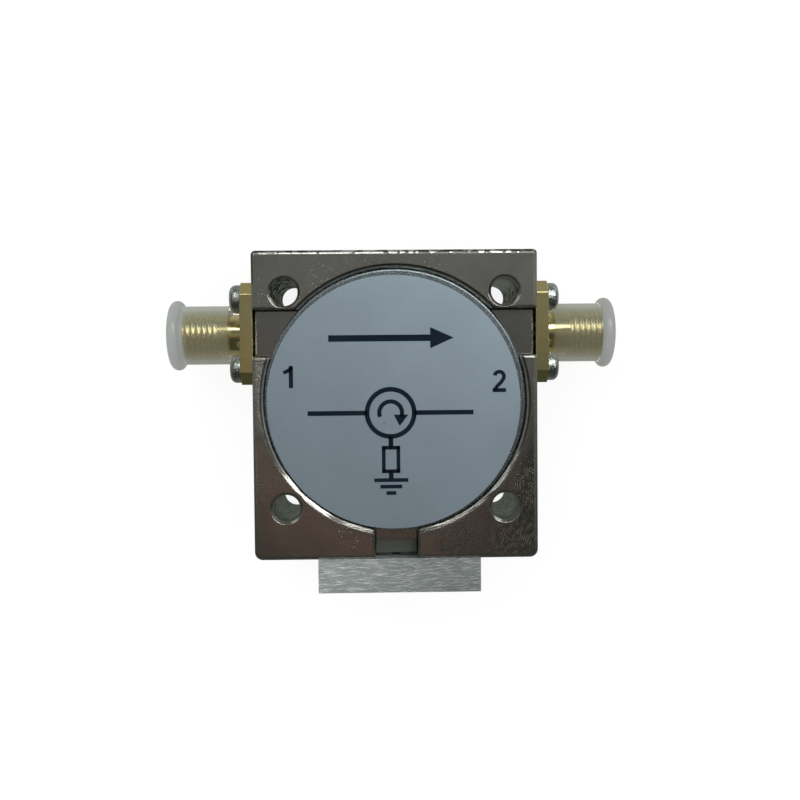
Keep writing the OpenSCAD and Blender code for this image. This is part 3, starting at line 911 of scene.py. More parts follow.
@dataclass(frozen=True)
class Milled(Plated):
    """Plated metal that still shows the ripples of a milling cutter, with dull, blotchy bores in
    painted shade and painted glow, and painted highlights and shade on its mouth and back edge.
    """

    # Each ripple: the cutter's centre, the middle and reach of the patch that shows it, height
    ripples: tuple[tuple[float, ...], ...] = (
        (5.0, -14.0, 14.8, -17.6, 4.4, 0.8),
        (-6.0, -23.0, 7.6, -16.8, 4.0, 0.9),
        (-25.0, -30.0, -16.2, -11.0, 3.0, 0.4),
        (5.0, -12.0, 16.6, -11.0, 3.6, 0.65),
    )
    ripple_pitch: float = 0.30
    ripple_h: float = 0.008
    # Where the specks crowd
    crowds: Spots = (
        (16.4, -10.6, 4.6, 0.8),
        (-16.0, 11.6, 2.8, 1.0),
        (-5.2, 16.6, 3.4, 1.0),
        (4.8, 16.5, 2.4, 1.0),
        (-5.4, -16.6, 3.0, 0.6),
        (-8.5, 15.0, 3.6, 0.9),
    )
    # Where the edges were broken by hand
    shallows: Spots = (
        (-11.3, -12.1, 5.4, 1.0),
        (-4.6, -16.0, 3.4, 0.5),
        (-13.5, 19.0, 7.5, 1.0),
        (8.0, -14.2, 6.0, 0.7),
        (13.6, -9.2, 4.6, 0.9),
    )
    # Where the grain is coarse
    lumps: Spots = ((-17.1, 0.6, 7.5, 1.0), (17.2, 0.0, 7.0, 0.35))
    # Where the bores are blotched
    blotched: Spots = (
        (-15.2, 14.2, 3.6, 1.0),
        (14.6, 13.0, 1.6, 0.8),
        (-14.0, -13.0, 3.0, 0.35),
        (14.0, -13.0, 3.0, 0.35),
    )
    bore_x: float = 13.5
    bore_y: float = 13.25
    bore_r: float = 1.72
    bore_top: float = 14.74
    bore_rim: float = 2.3
    bore_edge: float = 0.1
    # How much the bores' walls are dull and glow with painted light
    bore_dull: float = 0.9
    bore_rough: float = 0.3
    # The bores' walls in painted shade, and their black blotches
    bore_shade_and_blotch: Pair = ((0.22, 0.245, 0.205), (0.012, 0.012, 0.012))
    # Painted light in the bores: the heights between which their walls are painted brighter
    # downwards, as if lit from below, and the share at the top
    bore_painted_light: tuple[float, float, float] = (14.7, 9.7, 0.35)
    mouth_r: float = 16.2
    mouth_bevel: float = 0.4
    mouth_low: float = 14.4
    # How far outside the mouth the dark line of painted shade and the pale line of painted
    # highlight on its bevel run
    dark_line: Band = (0.38, 0.05, 0.05)
    glint_line: Band = (0.13, 0.04, 0.05)
    # The painted shade line's colour and share, and the pale highlight line's roughness
    shade_line_colour: Colour = (0.03, 0.03, 0.03)
    shade_line_share: float = 0.9
    line_rough: float = 0.35
    top_z: float = 14.98
    # The back edge's painted highlight: where it starts, and its colours in the white dashes and
    # in the painted shade between them
    back_y: float = 17.93
    back_low: float = 14.65
    glint_dash_colour: Colour = (1.0, 1.0, 0.98)
    shaded_gap_colour: Colour = (0.08, 0.08, 0.075)

    def bore_reach(self, place: Value) -> Value:
        """The distance from the nearest bore's axis: absolute values fold the plan into one
        quarter first."""
        return place.vector("ABSOLUTE").scaled((1, 1, 0), (-self.bore_x, -self.bore_y, 0)).length

    def above(self, place: Value) -> Value:
        """One on the top face."""
        return place.z > self.top_z

    def inside(self, place: Value) -> Value:
        """One on the walls of the four bores."""
        return (self.bore_reach(place) < self.bore_r) * (place.z < self.bore_top)

    def dull_and_glow(self, place: Value) -> Value:
        """The bores are hardly plated: they hardly shine, and they glow with painted light."""
        return self.inside(place) * self.bore_dull

    def reach(self, place: Value) -> Value:
        """A rounding that is smaller at the bores."""
        rim, small, full = self.bore_rim, self.bore_edge * MM, self.edge_r * MM
        return self.bore_reach(place).between(rim, rim + 0.3, small, full)

    def wide(self, place: Value) -> Value:
        """The stretches of edge that were broken by hand, in streaks that run round the
        mouth, and not at the bores: the streaks are noise over the heading and the radius.

        Args:
            place: Object coordinates in millimetres.

        Returns:
            The mask.
        """
        heading = place.x.math("ARCTAN2", place.y) * 7.0
        line = place.graph.triple(heading, place.flat.length * 9.0)
        streak = line.noise(1.0).between(0.38, 0.56, 0.35, 1.0)
        clear = self.bore_reach(place).between(self.bore_rim, self.bore_rim + 0.2)
        return streak * highest(place, self.shallows) * clear

    def coarse(self, place: Value) -> Value:
        """The narrow lands beside the lid, and more faintly the metal round its mouth."""
        outside = place.flat.length - (self.mouth_r + self.mouth_bevel)
        return outside.between(0.0, 1.6, 0.35, 0.04).most(highest(place, self.lumps))

    def patch(self, place: Value) -> Value:
        """The places on the top face where the plating is rough."""
        return highest(place, self.crowds) * self.above(place)

    def marks(self, place: Value) -> list[tuple[Value, Value | None]]:
        """The cutter's ripples on the top face.

        Args:
            place: Object coordinates in millimetres.

        Returns:
            The height and the crests of each ripple.
        """
        made = []
        for x, y, patch_x, patch_y, reach, share in self.ripples:
            ripple = CHATTER.use(
                place.scaled((1, 1, 1), (-x, -y, 0)),
                pitch=self.ripple_pitch / math.tau,
                patch=spot(place, patch_x, patch_y, reach) * self.above(place),
                height=self.ripple_h * share,
            )
            made.append((ripple["Height"], ripple["Mask"] * share))
        return made

    def paint_back_glints(self, place: Value, colour: Value) -> Value:
        """Paints a highlight on the back edge in white dashes, with painted shade between them
        that is darker towards the right.

        Args:
            place: Object coordinates in millimetres.
            colour: the metal's colour.

        Returns:
            The changed colour.
        """
        # Painted highlight on the back edge, in dashes, with painted shade in the gaps
        edge = place.y.between(self.back_y - 0.1, self.back_y) * (place.z > self.back_low)
        bar = place.x.between(-6.0, 4.0, 0.45, 0.575)
        white = edge * place.noise(1.5, 3.0).between(bar - 0.06, bar)
        shaded_gap = (edge - white) * place.x.between(-8.0, 2.0, 0.5, 0.85)
        return shaded_gap.mix(white.mix(colour, self.glint_dash_colour), self.shaded_gap_colour)

    def tint(self, place: Value, colour: Value, rough: Value) -> tuple[Value, Value]:
        """Paints shade on the walls of the four bores, lighter downwards as painted light, and
        paints the lines of the mouth's bevel: a dark one of painted shade where it starts and a
        pale one of painted highlight where it ends.

        Args:
            place: Object coordinates in millimetres.
            colour: the metal's colour.
            rough: its roughness.

        Returns:
            The changed colour and roughness.
        """
        # Painted shade and highlight on the mouth's bevel: a dark line and a pale line
        outside = place.flat.length - self.mouth_r
        above = (place.z > self.mouth_low) * (1.0 - self.wide(place))
        dark = outside.band(*self.dark_line) * above * self.shade_line_share
        pale_edge = outside.band(*self.glint_line) * above
        colour = pale_edge.mix(dark.mix(colour, self.shade_line_colour), self.edge_colour)
        colour = self.paint_back_glints(place, colour)
        rough = pale_edge * self.line_rough + rough
        # Painted shade on the bore walls, lighter downwards as painted light from below, with black
        # blotches
        blotch = place.noise(1.7, 4.0, 0.65).between(0.45, 0.52) * highest(place, self.blotched)
        start, end, share = self.bore_painted_light
        wall = blotch.mix(*self.bore_shade_and_blotch).dimmed(place.z.between(start, end, share, 1.0))
        inside = self.inside(place)
        return inside.mix(colour, wall), inside * self.bore_rough + rough


@dataclass(frozen=True)
class Turned(Plated):
    """Metal turned about the cavity's axis, with fine rings."""

    ring_scale: float = 5.0
    ring_h: float = 0.003

    def marks(self, place: Value) -> list[tuple[Value, Value | None]]:
        """Heights of the rings about the axis."""
        return [(RINGS.use(place, scale=self.ring_scale, height=self.ring_h)["Height"], None)]


@dataclass(frozen=True)
class Nosed(Plated):
    """Plated metal with a paler, duller band along its front end."""

    nose_y: float = -17.6
    nose_l: float = 1.0
    nose_colour: Colour = (0.25, 0.26, 0.24)
    nose_rough: float = 0.25

    def tint(self, place: Value, colour: Value, rough: Value) -> tuple[Value, Value]:
        """Fades the band in towards the front."""
        front = place.y.between(self.nose_y + self.nose_l / 2, self.nose_y - self.nose_l / 2)
        return front.mix(colour, self.nose_colour), front * self.nose_rough + rough


@dataclass(frozen=True)
class GlintLined(Plated):
    """Plated metal with a painted glint: a pale, broken line along both of its outer ends."""

    lip_x: float = 17.3
    lip_l: float = 0.22

    def tint(self, place: Value, colour: Value, rough: Value) -> tuple[Value, Value]:
        """Paints the glint line in dots and dashes.

        Args:
            place: Object coordinates in millimetres.
            colour: the metal's colour.
            rough: its roughness.

        Returns:
            The changed colour and roughness.
        """
        # Painted glint: a pale dotted line near the outer ends
        lip_glint = abs(place.x).between(self.lip_x - self.lip_l, self.lip_x - self.lip_l / 2)
        lip_glint = lip_glint * place.noise(3.4).between(0.46, 0.56)
        return lip_glint.mix(colour, self.edge_colour), lip_glint * self.edge_rough + rough


@dataclass(frozen=True)
class Threaded(Plated):
    """Plated metal whose rolled thread is duller than its turned neck and flange, with
    rounded flanks."""

    left_x: float = -21.0
    right_x: float = 22.5
    soft: float = 0.2
    thread_rough: float = 0.12
    round_share: float = 0.65

    def beyond(self, place: Value) -> Value:
        """One from the distance on where each thread starts."""
        right = place.x.between(self.right_x - self.soft, self.right_x + self.soft)
        return right.most(place.x.between(self.left_x + self.soft, self.left_x - self.soft))

    def bend(self, place: Value, normal: Value) -> Value:
        """Leans the thread's normals towards the line that leads straight off the axis.

        Args:
            place: Object coordinates in millimetres.
            normal: the normal.

        Returns:
            The changed normal.
        """
        lean = off_port(place).unit.vector("SUBTRACT", normal)
        return lean.dimmed(self.beyond(place) * self.round_share).vector("ADD", normal).unit

    def tint(self, place: Value, colour: Value, rough: Value) -> tuple[Value, Value]:
        """Roughens the threads."""
        return colour, self.beyond(place) * self.thread_rough + rough


@dataclass(frozen=True)
class Sawn(Plated):
    """Sawn metal with long scratches a few degrees off the length of the piece."""

    squeeze: Colour = (0.5, 8.5, 8.5)
    stroke_h: float = 0.05
    # The angle of each set of scratches and its strength
    slopes: tuple[tuple[float, float], ...] = ((9.0, 1.0), (-3.6, 0.6))
    # The places along X between which the metal dims, and the share that is left
    fade: tuple[float, float, float] = (-9.0, 9.0, 0.62)

    def tint(self, place: Value, colour: Value, rough: Value) -> tuple[Value, Value]:
        """Dims the metal towards the right, as the brushing turns away from the light."""
        start, end, share = self.fade
        return colour.dimmed(place.x.between(start, end, 1.0, share)), rough

    def marks(self, place: Value) -> list[tuple[Value, Value | None]]:
        """The saw's scratches, in two directions that cross at a small angle.

        Args:
            place: Object coordinates in millimetres.

        Returns:
            The height and the crests of each set.
        """
        made = []
        for slope, share in self.slopes:
            inputs = {"Vector": place, "Angle": math.radians(-slope)}
            turned = place.graph.value("VectorRotate", inputs, rotation_type="Z_AXIS")
            strokes = STROKES.use(turned, squeeze=self.squeeze, height=self.stroke_h * share)
            made.append((strokes["Height"], strokes["Mask"]))
        return made


@dataclass(frozen=True)
class Solid(Finish):
    """Plastic, ceramic, ink or film: cloudy colour, fine grain, and small pits or dust."""

    light: Colour
    dark: Colour
    rough: float = 0.5
    rough_spread: float = 0.12
    metallic: float = 0.0
    gloss: float = 0.5
    cloud: float = 0.3
    grain: float = 5.0
    grain_h: float = 0.003
    pit_scale: float = 1.5
    pit_share: float = 0.04
    pit_h: float = -0.01
    pit_tint: float = 0.0
    pit_colour: Colour = (0.08, 0.09, 0.10)

    def dress(self, place: Value) -> Inputs:
        """Adds grain and pits to the clouds of the colour.

        Args:
            place: Object coordinates in millimetres.

        Returns:
            What the shader's inputs get.
        """
        cloud = MOTTLE.use(place, scale=self.cloud, first=self.light, second=self.dark)
        grain = GRAIN.use(place, scale=self.grain, height=self.grain_h)
        pits = PITS.use(place, scale=self.pit_scale, share=self.pit_share, height=self.pit_h)
        return {
            "Base Color": (pits["Mask"] * self.pit_tint).mix(cloud["Color"], self.pit_colour),
            "Roughness": grain["Mask"] * self.rough_spread + self.rough,
            "Metallic": self.metallic,
            "Specular IOR Level": self.gloss,
            "Normal": relief([grain["Height"], pits["Height"]]),
        }


@dataclass(frozen=True)
class Milky(Finish):
    """Translucent moulded plastic: clear enough to show the jack in the tube, and milky in
    the solid end and where the wall is seen edge on. Its colour has painted light on faces
    turned to the back, painted shade on those turned to the front, and a painted glow."""

    end_x: float
    # What the colour is scaled by: below one it is painted shade
    shade: float
    soft: float = 0.45
    # The radii between which the tube's wall passes into the rim round its end
    rim_from: float = 3.79
    rim_to: float = 3.87
    light: Colour = (0.350, 0.370, 0.350)
    dark: Colour = (0.335, 0.350, 0.330)
    cloud: float = 0.35
    grain: float = 2.5
    grain_h: float = 0.003
    rough: float = 0.24
    rough_spread: float = 0.1
    # The thin plastic's and the thick wall's colours at the front, darker as painted shade, and
    # at the back, lighter as painted light, and how far a face is turned to the back where the
    # change starts and ends
    haze_shade_light: Pair = ((0.215, 0.198, 0.155), (0.310, 0.335, 0.240))
    wall: Pair = ((0.262, 0.262, 0.208), (0.328, 0.345, 0.280))
    back_from: float = -0.3
    back_to: float = 0.5
    # The share of the colour that is a painted glow, which evens out the shading
    glow: float = 0.5
    # How opaque the tube is face on and edge on, the facing between the two, and the end
    tube: float = 0.40
    edge_on: float = 0.95
    face_on: float = 0.10
    turned: float = 0.55
    solid: float = 0.98
    # How far a face is turned along the port where the mouth's ring starts to clear and ends
    ring_from: float = 0.6
    ring_to: float = 0.9

    def dress(self, place: Value) -> Inputs:
        """Feeds a shader whose opacity follows the thickness of the plastic. A wall that is
        seen from inside adds nothing, because its outer face has counted already, and so
        does the narrow ring at the mouth. The colour is painted lighter on faces turned to the
        back and darker on those turned to the front, and half of it is a painted glow.

        Args:
            place: Object coordinates in millimetres.

        Returns:
            What the shader's inputs get.
        """
        graph = place.graph
        cloud = MOTTLE.use(place, scale=self.cloud, first=self.light, second=self.dark)
        grain = GRAIN.use(place, scale=self.grain, height=self.grain_h)
        end = abs(place.x).between(self.end_x - self.soft, self.end_x + self.soft, 0.0, self.solid)
        radius = off_port(place).length
        end = end.most(radius.between(self.rim_from, self.rim_to, 0.0, self.solid))
        facing = graph.value("LayerWeight", {"Blend": 0.5}, "Facing")
        normal = graph.value("NewGeometry", output="Normal")
        ring = abs(normal.x).between(self.ring_from, self.ring_to, 1.0, 0.0)
        wall = facing.between(self.face_on, self.turned, self.tube, self.edge_on)
        alpha = (wall * ring).most(end)
        back = normal.y.between(self.back_from, self.back_to)
        thick = alpha.between(self.tube, self.edge_on)
        # Painted light and shade: lighter on faces turned to the back, darker on those turned to the
        # front
        colour = thick.mix(back.mix(*self.haze_shade_light), back.mix(*self.wall))
        colour = end.mix(colour, cloud["Color"]).scaled([self.shade] * 3)
        return {
            "Base Color": colour.scaled([1 - self.glow] * 3),
            "Emission Color": colour,
            "Emission Strength": self.glow,
            "Alpha": alpha * (1.0 - graph.value("NewGeometry", output="Backfacing")),
            "Roughness": grain["Mask"] * self.rough_spread + self.rough,
            "Normal": relief([grain["Height"]]),
        }


NICKEL = Milled(
    "milled_nickel",
    light=(0.57, 0.55, 0.52),
    dark=(0.50, 0.475, 0.45),
    rough=0.13,
    rough_spread=0.06,
    gloss=0.0,
    grain=5.0,
    grain_h=0.0035,
    grain_share=0.2,
    speck_scale=5.0,
    speck_rough=0.45,
    speck_share=0.5,
    edge_r=0.3,
    edge_rough=0.06,
    edge_lift=5.0,
    mark_share=0.45,
    mark_rough=0.12,
    lump_h=0.055,
    lump_share=0.4,
    painted_glow=0.30,
)
PLUG = GlintLined(
    "plug_nickel",
    light=(0.42, 0.41, 0.395),
    dark=(0.37, 0.36, 0.345),
    rough=0.16,
    grain_h=0.0006,
    speck_level=0.84,
    edge_lift=2.0,
)
LOAD_PLUG = Nosed(
    "nosed_nickel",
    light=(0.46, 0.46, 0.42),
    dark=(0.37, 0.355, 0.33),
    rough=0.18,
    grain_h=0.0015,
    speck_level=0.80,
    speck_share=0.6,
    speck_rough=0.4,
)
LID = Turned(
    "turned_lid",
    light=(0.43, 0.50, 0.54),
    dark=(0.36, 0.40, 0.45),
    rough=0.24,
    cloud=0.9,
    ring_h=0.001,
    speck_level=0.86,
    edge_share=0.3,
    edge_rough=0.05,
    edge_lift=0.8,
)
GOLD = Threaded(
    "satin_gold",
    light=(0.92, 0.83, 0.42),
    dark=(0.97, 0.78, 0.37),
    rough=0.13,
    cloud=0.4,
    grain=7.0,
    grain_h=0.0006,
    speck_level=0.76,
    speck_share=0.3,
    edge_r=0.16,
    edge_rough=0.25,
    edge_share=0.8,
    edge_lift=4.0,
    edge_colour=(1.0, 0.95, 0.60),
)
STEEL = Plated(
    "bright_screw",
    light=(0.70, 0.73, 0.71),
    dark=(0.42, 0.45, 0.43),
    rough=0.26,
    rough_spread=0.2,
    cloud=1.5,
    grain=3.2,
    grain_h=0.07,
    grain_share=0.5,
    wave_h=0.08,
    speck_level=0.70,
    speck_h=-0.05,
)
SAWN = Sawn(
    "sawn_aluminium",
    light=(0.46, 0.515, 0.505),
    dark=(0.355, 0.405, 0.41),
    rough=0.4,
    metallic=0.6,
    grain_h=0.006,
    grain_share=0.25,
    speck_level=0.9,
    edge_colour=(1.0, 1.0, 0.98),
    mark_share=1.0,
)
SILVER = Plated(
    "silver_plate",
    light=(0.90, 0.88, 0.83),
    dark=(0.80, 0.76, 0.68),
    rough=0.25,
    edge_colour=(0.95, 0.93, 0.90),
)
POLE = Turned("turned_pole", light=(0.60, 0.60, 0.59), dark=(0.50, 0.50, 0.49), rough=0.32)
FILM = Solid(
    "matt_film",
    light=(0.402, 0.490, 0.574),
    dark=(0.372, 0.451, 0.533),
    rough=0.45,
    rough_spread=0.08,
    metallic=0.8,
    cloud=0.12,
    grain=14.0,
    grain_h=0.0015,
    pit_scale=0.7,
    pit_share=0.06,
    pit_h=0.004,
    pit_tint=0.45,
)
INK = Solid("print_ink", (0.003, 0.009, 0.018), (0.005, 0.012, 0.022), gloss=0.1)
MAGNET = Solid("ground_magnet", (0.045, 0.045, 0.05), (0.03, 0.03, 0.032), rough=0.42)
FERRITE = Solid("lapped_ferrite", (0.03, 0.028, 0.027), (0.018, 0.017, 0.016), rough=0.24)
SPACER = Solid("turned_spacer", (0.80, 0.80, 0.76), (0.72, 0.72, 0.68), rough=0.45)
CHIP = Solid("fired_ceramic", (0.62, 0.50, 0.32), (0.52, 0.40, 0.24), rough=0.55)
PTFE = Solid("white_insulator", (0.84, 0.84, 0.81), (0.78, 0.78, 0.75), rough=0.38)
ALUMINA = Solid("resistor_ceramic", (0.72, 0.72, 0.68), (0.64, 0.64, 0.60))


# Sub-assemblies


def keep(piece: bpy.types.Object, finish: Finish, replaces: Sequence[str] = ()) -> None:
    """Gives a new piece its finish, its body and the nodes that it stands for.

    Args:
        piece: the new object.
        finish: its finish.
        replaces: CAD nodes that it replaces.
    """
    piece.data.materials.append(finish.material())
    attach(piece, BODY)
    if replaces:
        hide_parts(*replaces)
    LOG.info("made %s with %s", piece.name, finish.name)


def dress_nodes(finishes: dict[str, Finish], start: str = "") -> None:
    """Gives CAD nodes their finishes.

    Args:
        finishes: the finish of each node, by its name or by what follows the start.
        start: what all of their names start with.
    """
    for name, finish in finishes.items():
        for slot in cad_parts[start + name].material_slots:
            slot.link = "OBJECT"
            slot.material = finish.material()
        LOG.info("dressed %s with %s", start + name, finish.name)


@dataclass
class Jack:
    """A flanged jack with a real thread on its barrel, and what sits in it and on it."""

    side: Side
    flange_face: float = 19.1
    neck_l: float = 3.5
    barrel_l: float = 7.95
    thread_r: float = 3.175
    pitch: float = 0.7056
    depth: float = 0.42
    bevel: float = 0.3
    # How far the blank under the thread and the sleeve's bore lie below the roots
    blank_gap: float = 0.04
    bore_gap: float = 0.14
    # How far before the neck's end the barrel's points count
    margin: float = 0.05
    milky_l: float = 0.45
    # The caps' colour scales: the right cap is a darker copy in painted shade
    left_shade: float = 1.0
    right_shade: float = 0.94

    def build(self) -> None:
        """Makes the jack from the node's own form and a helical thread: the barrel's points
        draw in to the blank's radius, along the lines that lead off the axis."""
        name = self.side.word
        body = node_surface(f"{name}_connector")
        p = body.points
        across = p[:, 1:] - np.array(PORT_AXIS)
        radius = np.linalg.norm(across, axis=1)
        out = np.abs(p[:, 0]) - self.flange_face
        root = self.thread_r - self.depth
        blank = root - self.blank_gap
        thread_zone = (out > self.neck_l - self.margin) & (radius > blank)
        shrink = np.where(thread_zone, blank / np.maximum(radius, blank), 1.0)
        p[:, 1:] = np.array(PORT_AXIS) + across * shrink[:, None]
        thread = Thread(
            crest_r=self.thread_r,
            depth=self.depth,
            pitch=self.pitch,
            start=self.neck_l,
            end=self.barrel_l,
            bevel=self.bevel,
            inner_r=root - self.bore_gap,
        )
        sleeve = along_port(thread.surface(), self.side, self.flange_face)
        piece = add_mesh(f"{name}_jack", body.joined(sleeve))
        keep(piece, GOLD, [f"{name}_connector"])

    def dress(self) -> None:
        """Finishes what sits in and on the jack."""
        name = self.side.word
        end_x = self.flange_face + self.barrel_l - self.milky_l
        shade = self.left_shade if self.side is Side.LEFT else self.right_shade
        finishes = {
            "insulator": PTFE,
            "contact": GOLD,
            "flange_screws": STEEL,
            "slot_plug": PLUG,
            "dust_cap": Milky(f"{name}_cap_plastic", end_x=end_x, shade=shade),
        }
        dress_nodes(finishes, f"{name}_")


@dataclass
class Print:
    """What is printed on the label: the two port numbers, a flow arrow, and the symbol of a
    circulator with its third port led into a resistor and earth."""

    level: float = 14.715
    ink_t: float = 0.015
    # Widths of the numerals, the arrow's shaft, the symbol's lines and its bars
    digit_w: float = 0.52
    shaft_w: float = 0.8
    line_w: float = 0.58
    bar_w: float = 0.46
    # Where the numerals stand, and the middles of the arrow and of the symbol's ring
    one_at: Point = (-12.78, 1.57)
    two_at: Point = (12.8, 0.83)
    arrow_at: Point = (-0.47, 7.58)
    symbol_at: Point = (-0.6, -1.6)
    arrow_half: float = 7.7
    head_l: float = 2.9
    head_half: float = 1.3
    # The symbol's ring, the arrow in it, its leads, and the resistor's box below the ring
    ring_r: float = 2.9
    sweep_r: float = 1.4
    lead_l: float = 10.2
    box_half: float = 0.9
    box_top: float = -4.3
    box_low: float = -7.2
    # Half the lengths of the earth's bars, the first one's drop, and the step between them
    earth: tuple[float, ...] = (2.1, 1.35, 0.6)
    earth_drop: float = 1.1
    earth_step: float = 0.8

    def one(self) -> list[np.ndarray]:
        """The numeral of the first port: a stem, and a flag that sweeps down to the left.

        Returns:
            The outlines of its strokes.
        """
        stem = np.array([[0.0, 0.0], [0.0, 2.7]]) + self.one_at
        flag = np.array([[0.2, 2.5], [-0.38, 2.08], [-0.92, 1.86]]) + self.one_at
        return [stroke(stem, self.digit_w), stroke(flag, np.array([0.42, 0.46, 0.42]))]

    def two(self) -> list[np.ndarray]:
        """The numeral of the second port: a hook, a sloping neck and a foot.

        Returns:
            The outlines of its strokes.
        """
        hook = arc(0, 1.93, 0.58, 168, -28, 22)
        neck = np.array([[0.26, 1.26], [-0.26, 0.74], [-0.58, 0.26]])
        widths = np.repeat([self.digit_w * 0.9, self.digit_w * 0.86], [len(hook), len(neck)])
        foot = np.array([[-0.83, 0.24], [0.83, 0.24]])
        return [
            stroke(np.vstack([hook, neck]) + self.two_at, widths),
            stroke(foot + self.two_at, 0.48),
        ]

    def arrow(self) -> list[np.ndarray]:
        """A flow arrow from the first port to the second.

        Returns:
            The outlines of its shaft and its head.
        """
        tip, neck, half = self.arrow_half, self.arrow_half - self.head_l, self.head_half
        shaft = np.array([[-tip, 0], [neck, 0]]) + self.arrow_at
        head = np.array([[neck, half], [tip, 0], [neck, -half]]) + self.arrow_at
        return [stroke(shaft, self.shaft_w), head]

    def symbol(self) -> list[np.ndarray]:
        """A ring with a curved arrow in it, three leads, a resistor and earth bars.

        Returns:
            The outlines of all its strokes.
        """
        ring, lead, half = self.ring_r, self.lead_l, self.box_half
        top, low = self.box_top, self.box_low
        lines = [arc(0, 0, ring, start, start + 120, 40) for start in (0, 120, 240)]
        leads = [[-lead, 0], [-ring, 0]], [[ring, 0], [lead, 0]], [[0, -ring], [0, top]]
        lines += [np.array(ends) for ends in (*leads, [[0, low], [0, low - 1.0]])]
        box = np.array([[-half, top], [half, top], [half, low], [-half, low], [-half, top]])
        bars = []
        for start, end in zip(box[:-1], box[1:]):
            along = (end - start) / np.linalg.norm(end - start) * self.bar_w / 2
            bars.append(np.array([start - along, end + along]))
        for step, half in enumerate(self.earth):
            level = low - self.earth_drop - self.earth_step * step
            bars.append(np.array([[-half, level], [half, level]]))
        sweep = arc(0, 0, self.sweep_r, 200, -20, 30)
        head = sweep[-1] + np.array([[-0.95, 0.25], [0.85, 0.25], [-0.2, -1.15]])
        outlines = [stroke(line, self.line_w) for line in lines]
        outlines += [stroke(bar, self.bar_w) for bar in bars]
        outlines += [stroke(sweep, self.digit_w), head]
        return [outline + self.symbol_at for outline in outlines]

    def build(self) -> None:
        """Lays the print on the label."""
        outlines = [*self.one(), *self.two(), *self.arrow(), *self.symbol()]
        plates = [(outline, self.level, self.level + self.ink_t) for outline in outlines]
        piece = add_mesh("label_print", Surface(np.zeros((0, 3))), plates)
        keep(piece, INK)


@dataclass
class Cover:
    """The lid with the thread round its rim, and the label with its print."""

    lid_r: float = 16.0
    low: float = 13.0
    high: float = 14.6
    pitch: float = 0.5
    # The thread's crests over the lid's edge, its depth and bevel, and the sleeve under it
    rise: float = 0.14
    depth: float = 0.22
    bevel: float = 0.14
    sleeve_t: float = 0.2
    # How far the thread stays off the lid's lower and upper face
    low_gap: float = 0.05
    high_gap: float = 0.01

    def build(self) -> None:
        """Adds the thread that shows in the slots and in the gap round the lid."""
        thread = Thread(
            crest_r=self.lid_r + self.rise,
            depth=self.depth,
            pitch=self.pitch,
            start=self.low + self.low_gap,
            end=self.high - self.high_gap,
            bevel=self.bevel,
            inner_r=self.lid_r - self.sleeve_t,
            steps=240,
            per_pitch=10,
        )
        piece = add_mesh("lid_thread", thread.surface())
        keep(piece, LID)
        Print().build()
        dress_nodes({"lid": LID, "label": FILM})


@dataclass
class Junction:
    """The magnets, pole plates, ferrites and conductor inside the housing."""

    # What the names of its two halves and of the pieces on its three arms start with
    levels: tuple[str, ...] = ("lower_", "upper_")
    arms: tuple[str, ...] = ("left_", "right_", "load_")

    def dress(self) -> None:
        """Finishes every piece of the stack."""
        stack = {"magnet": MAGNET, "pole_plate": POLE, "ferrite": FERRITE, "spacer_ring": SPACER}
        dress_nodes({"centre_conductor": SILVER, "compensation_disc": POLE})
        for level in self.levels:
            dress_nodes(stack, level)
        for arm in self.arms:
            dress_nodes({"capacitor": CHIP}, arm)


@dataclass
class Load:
    """The load block, its resistor, lead, screws and slot plug."""

    def dress(self) -> None:
        """Finishes the pieces of the load."""
        finishes = {
            "block": SAWN,
            "resistor": ALUMINA,
            "lead": SILVER,
            "screws": STEEL,
            "slot_plug": LOAD_PLUG,
        }
        dress_nodes(finishes, "load_")


@dataclass
class Housing:
    """The milled housing."""

    def dress(self) -> None:
        """Finishes the housing."""
        dress_nodes({"housing": NICKEL})


# Studio


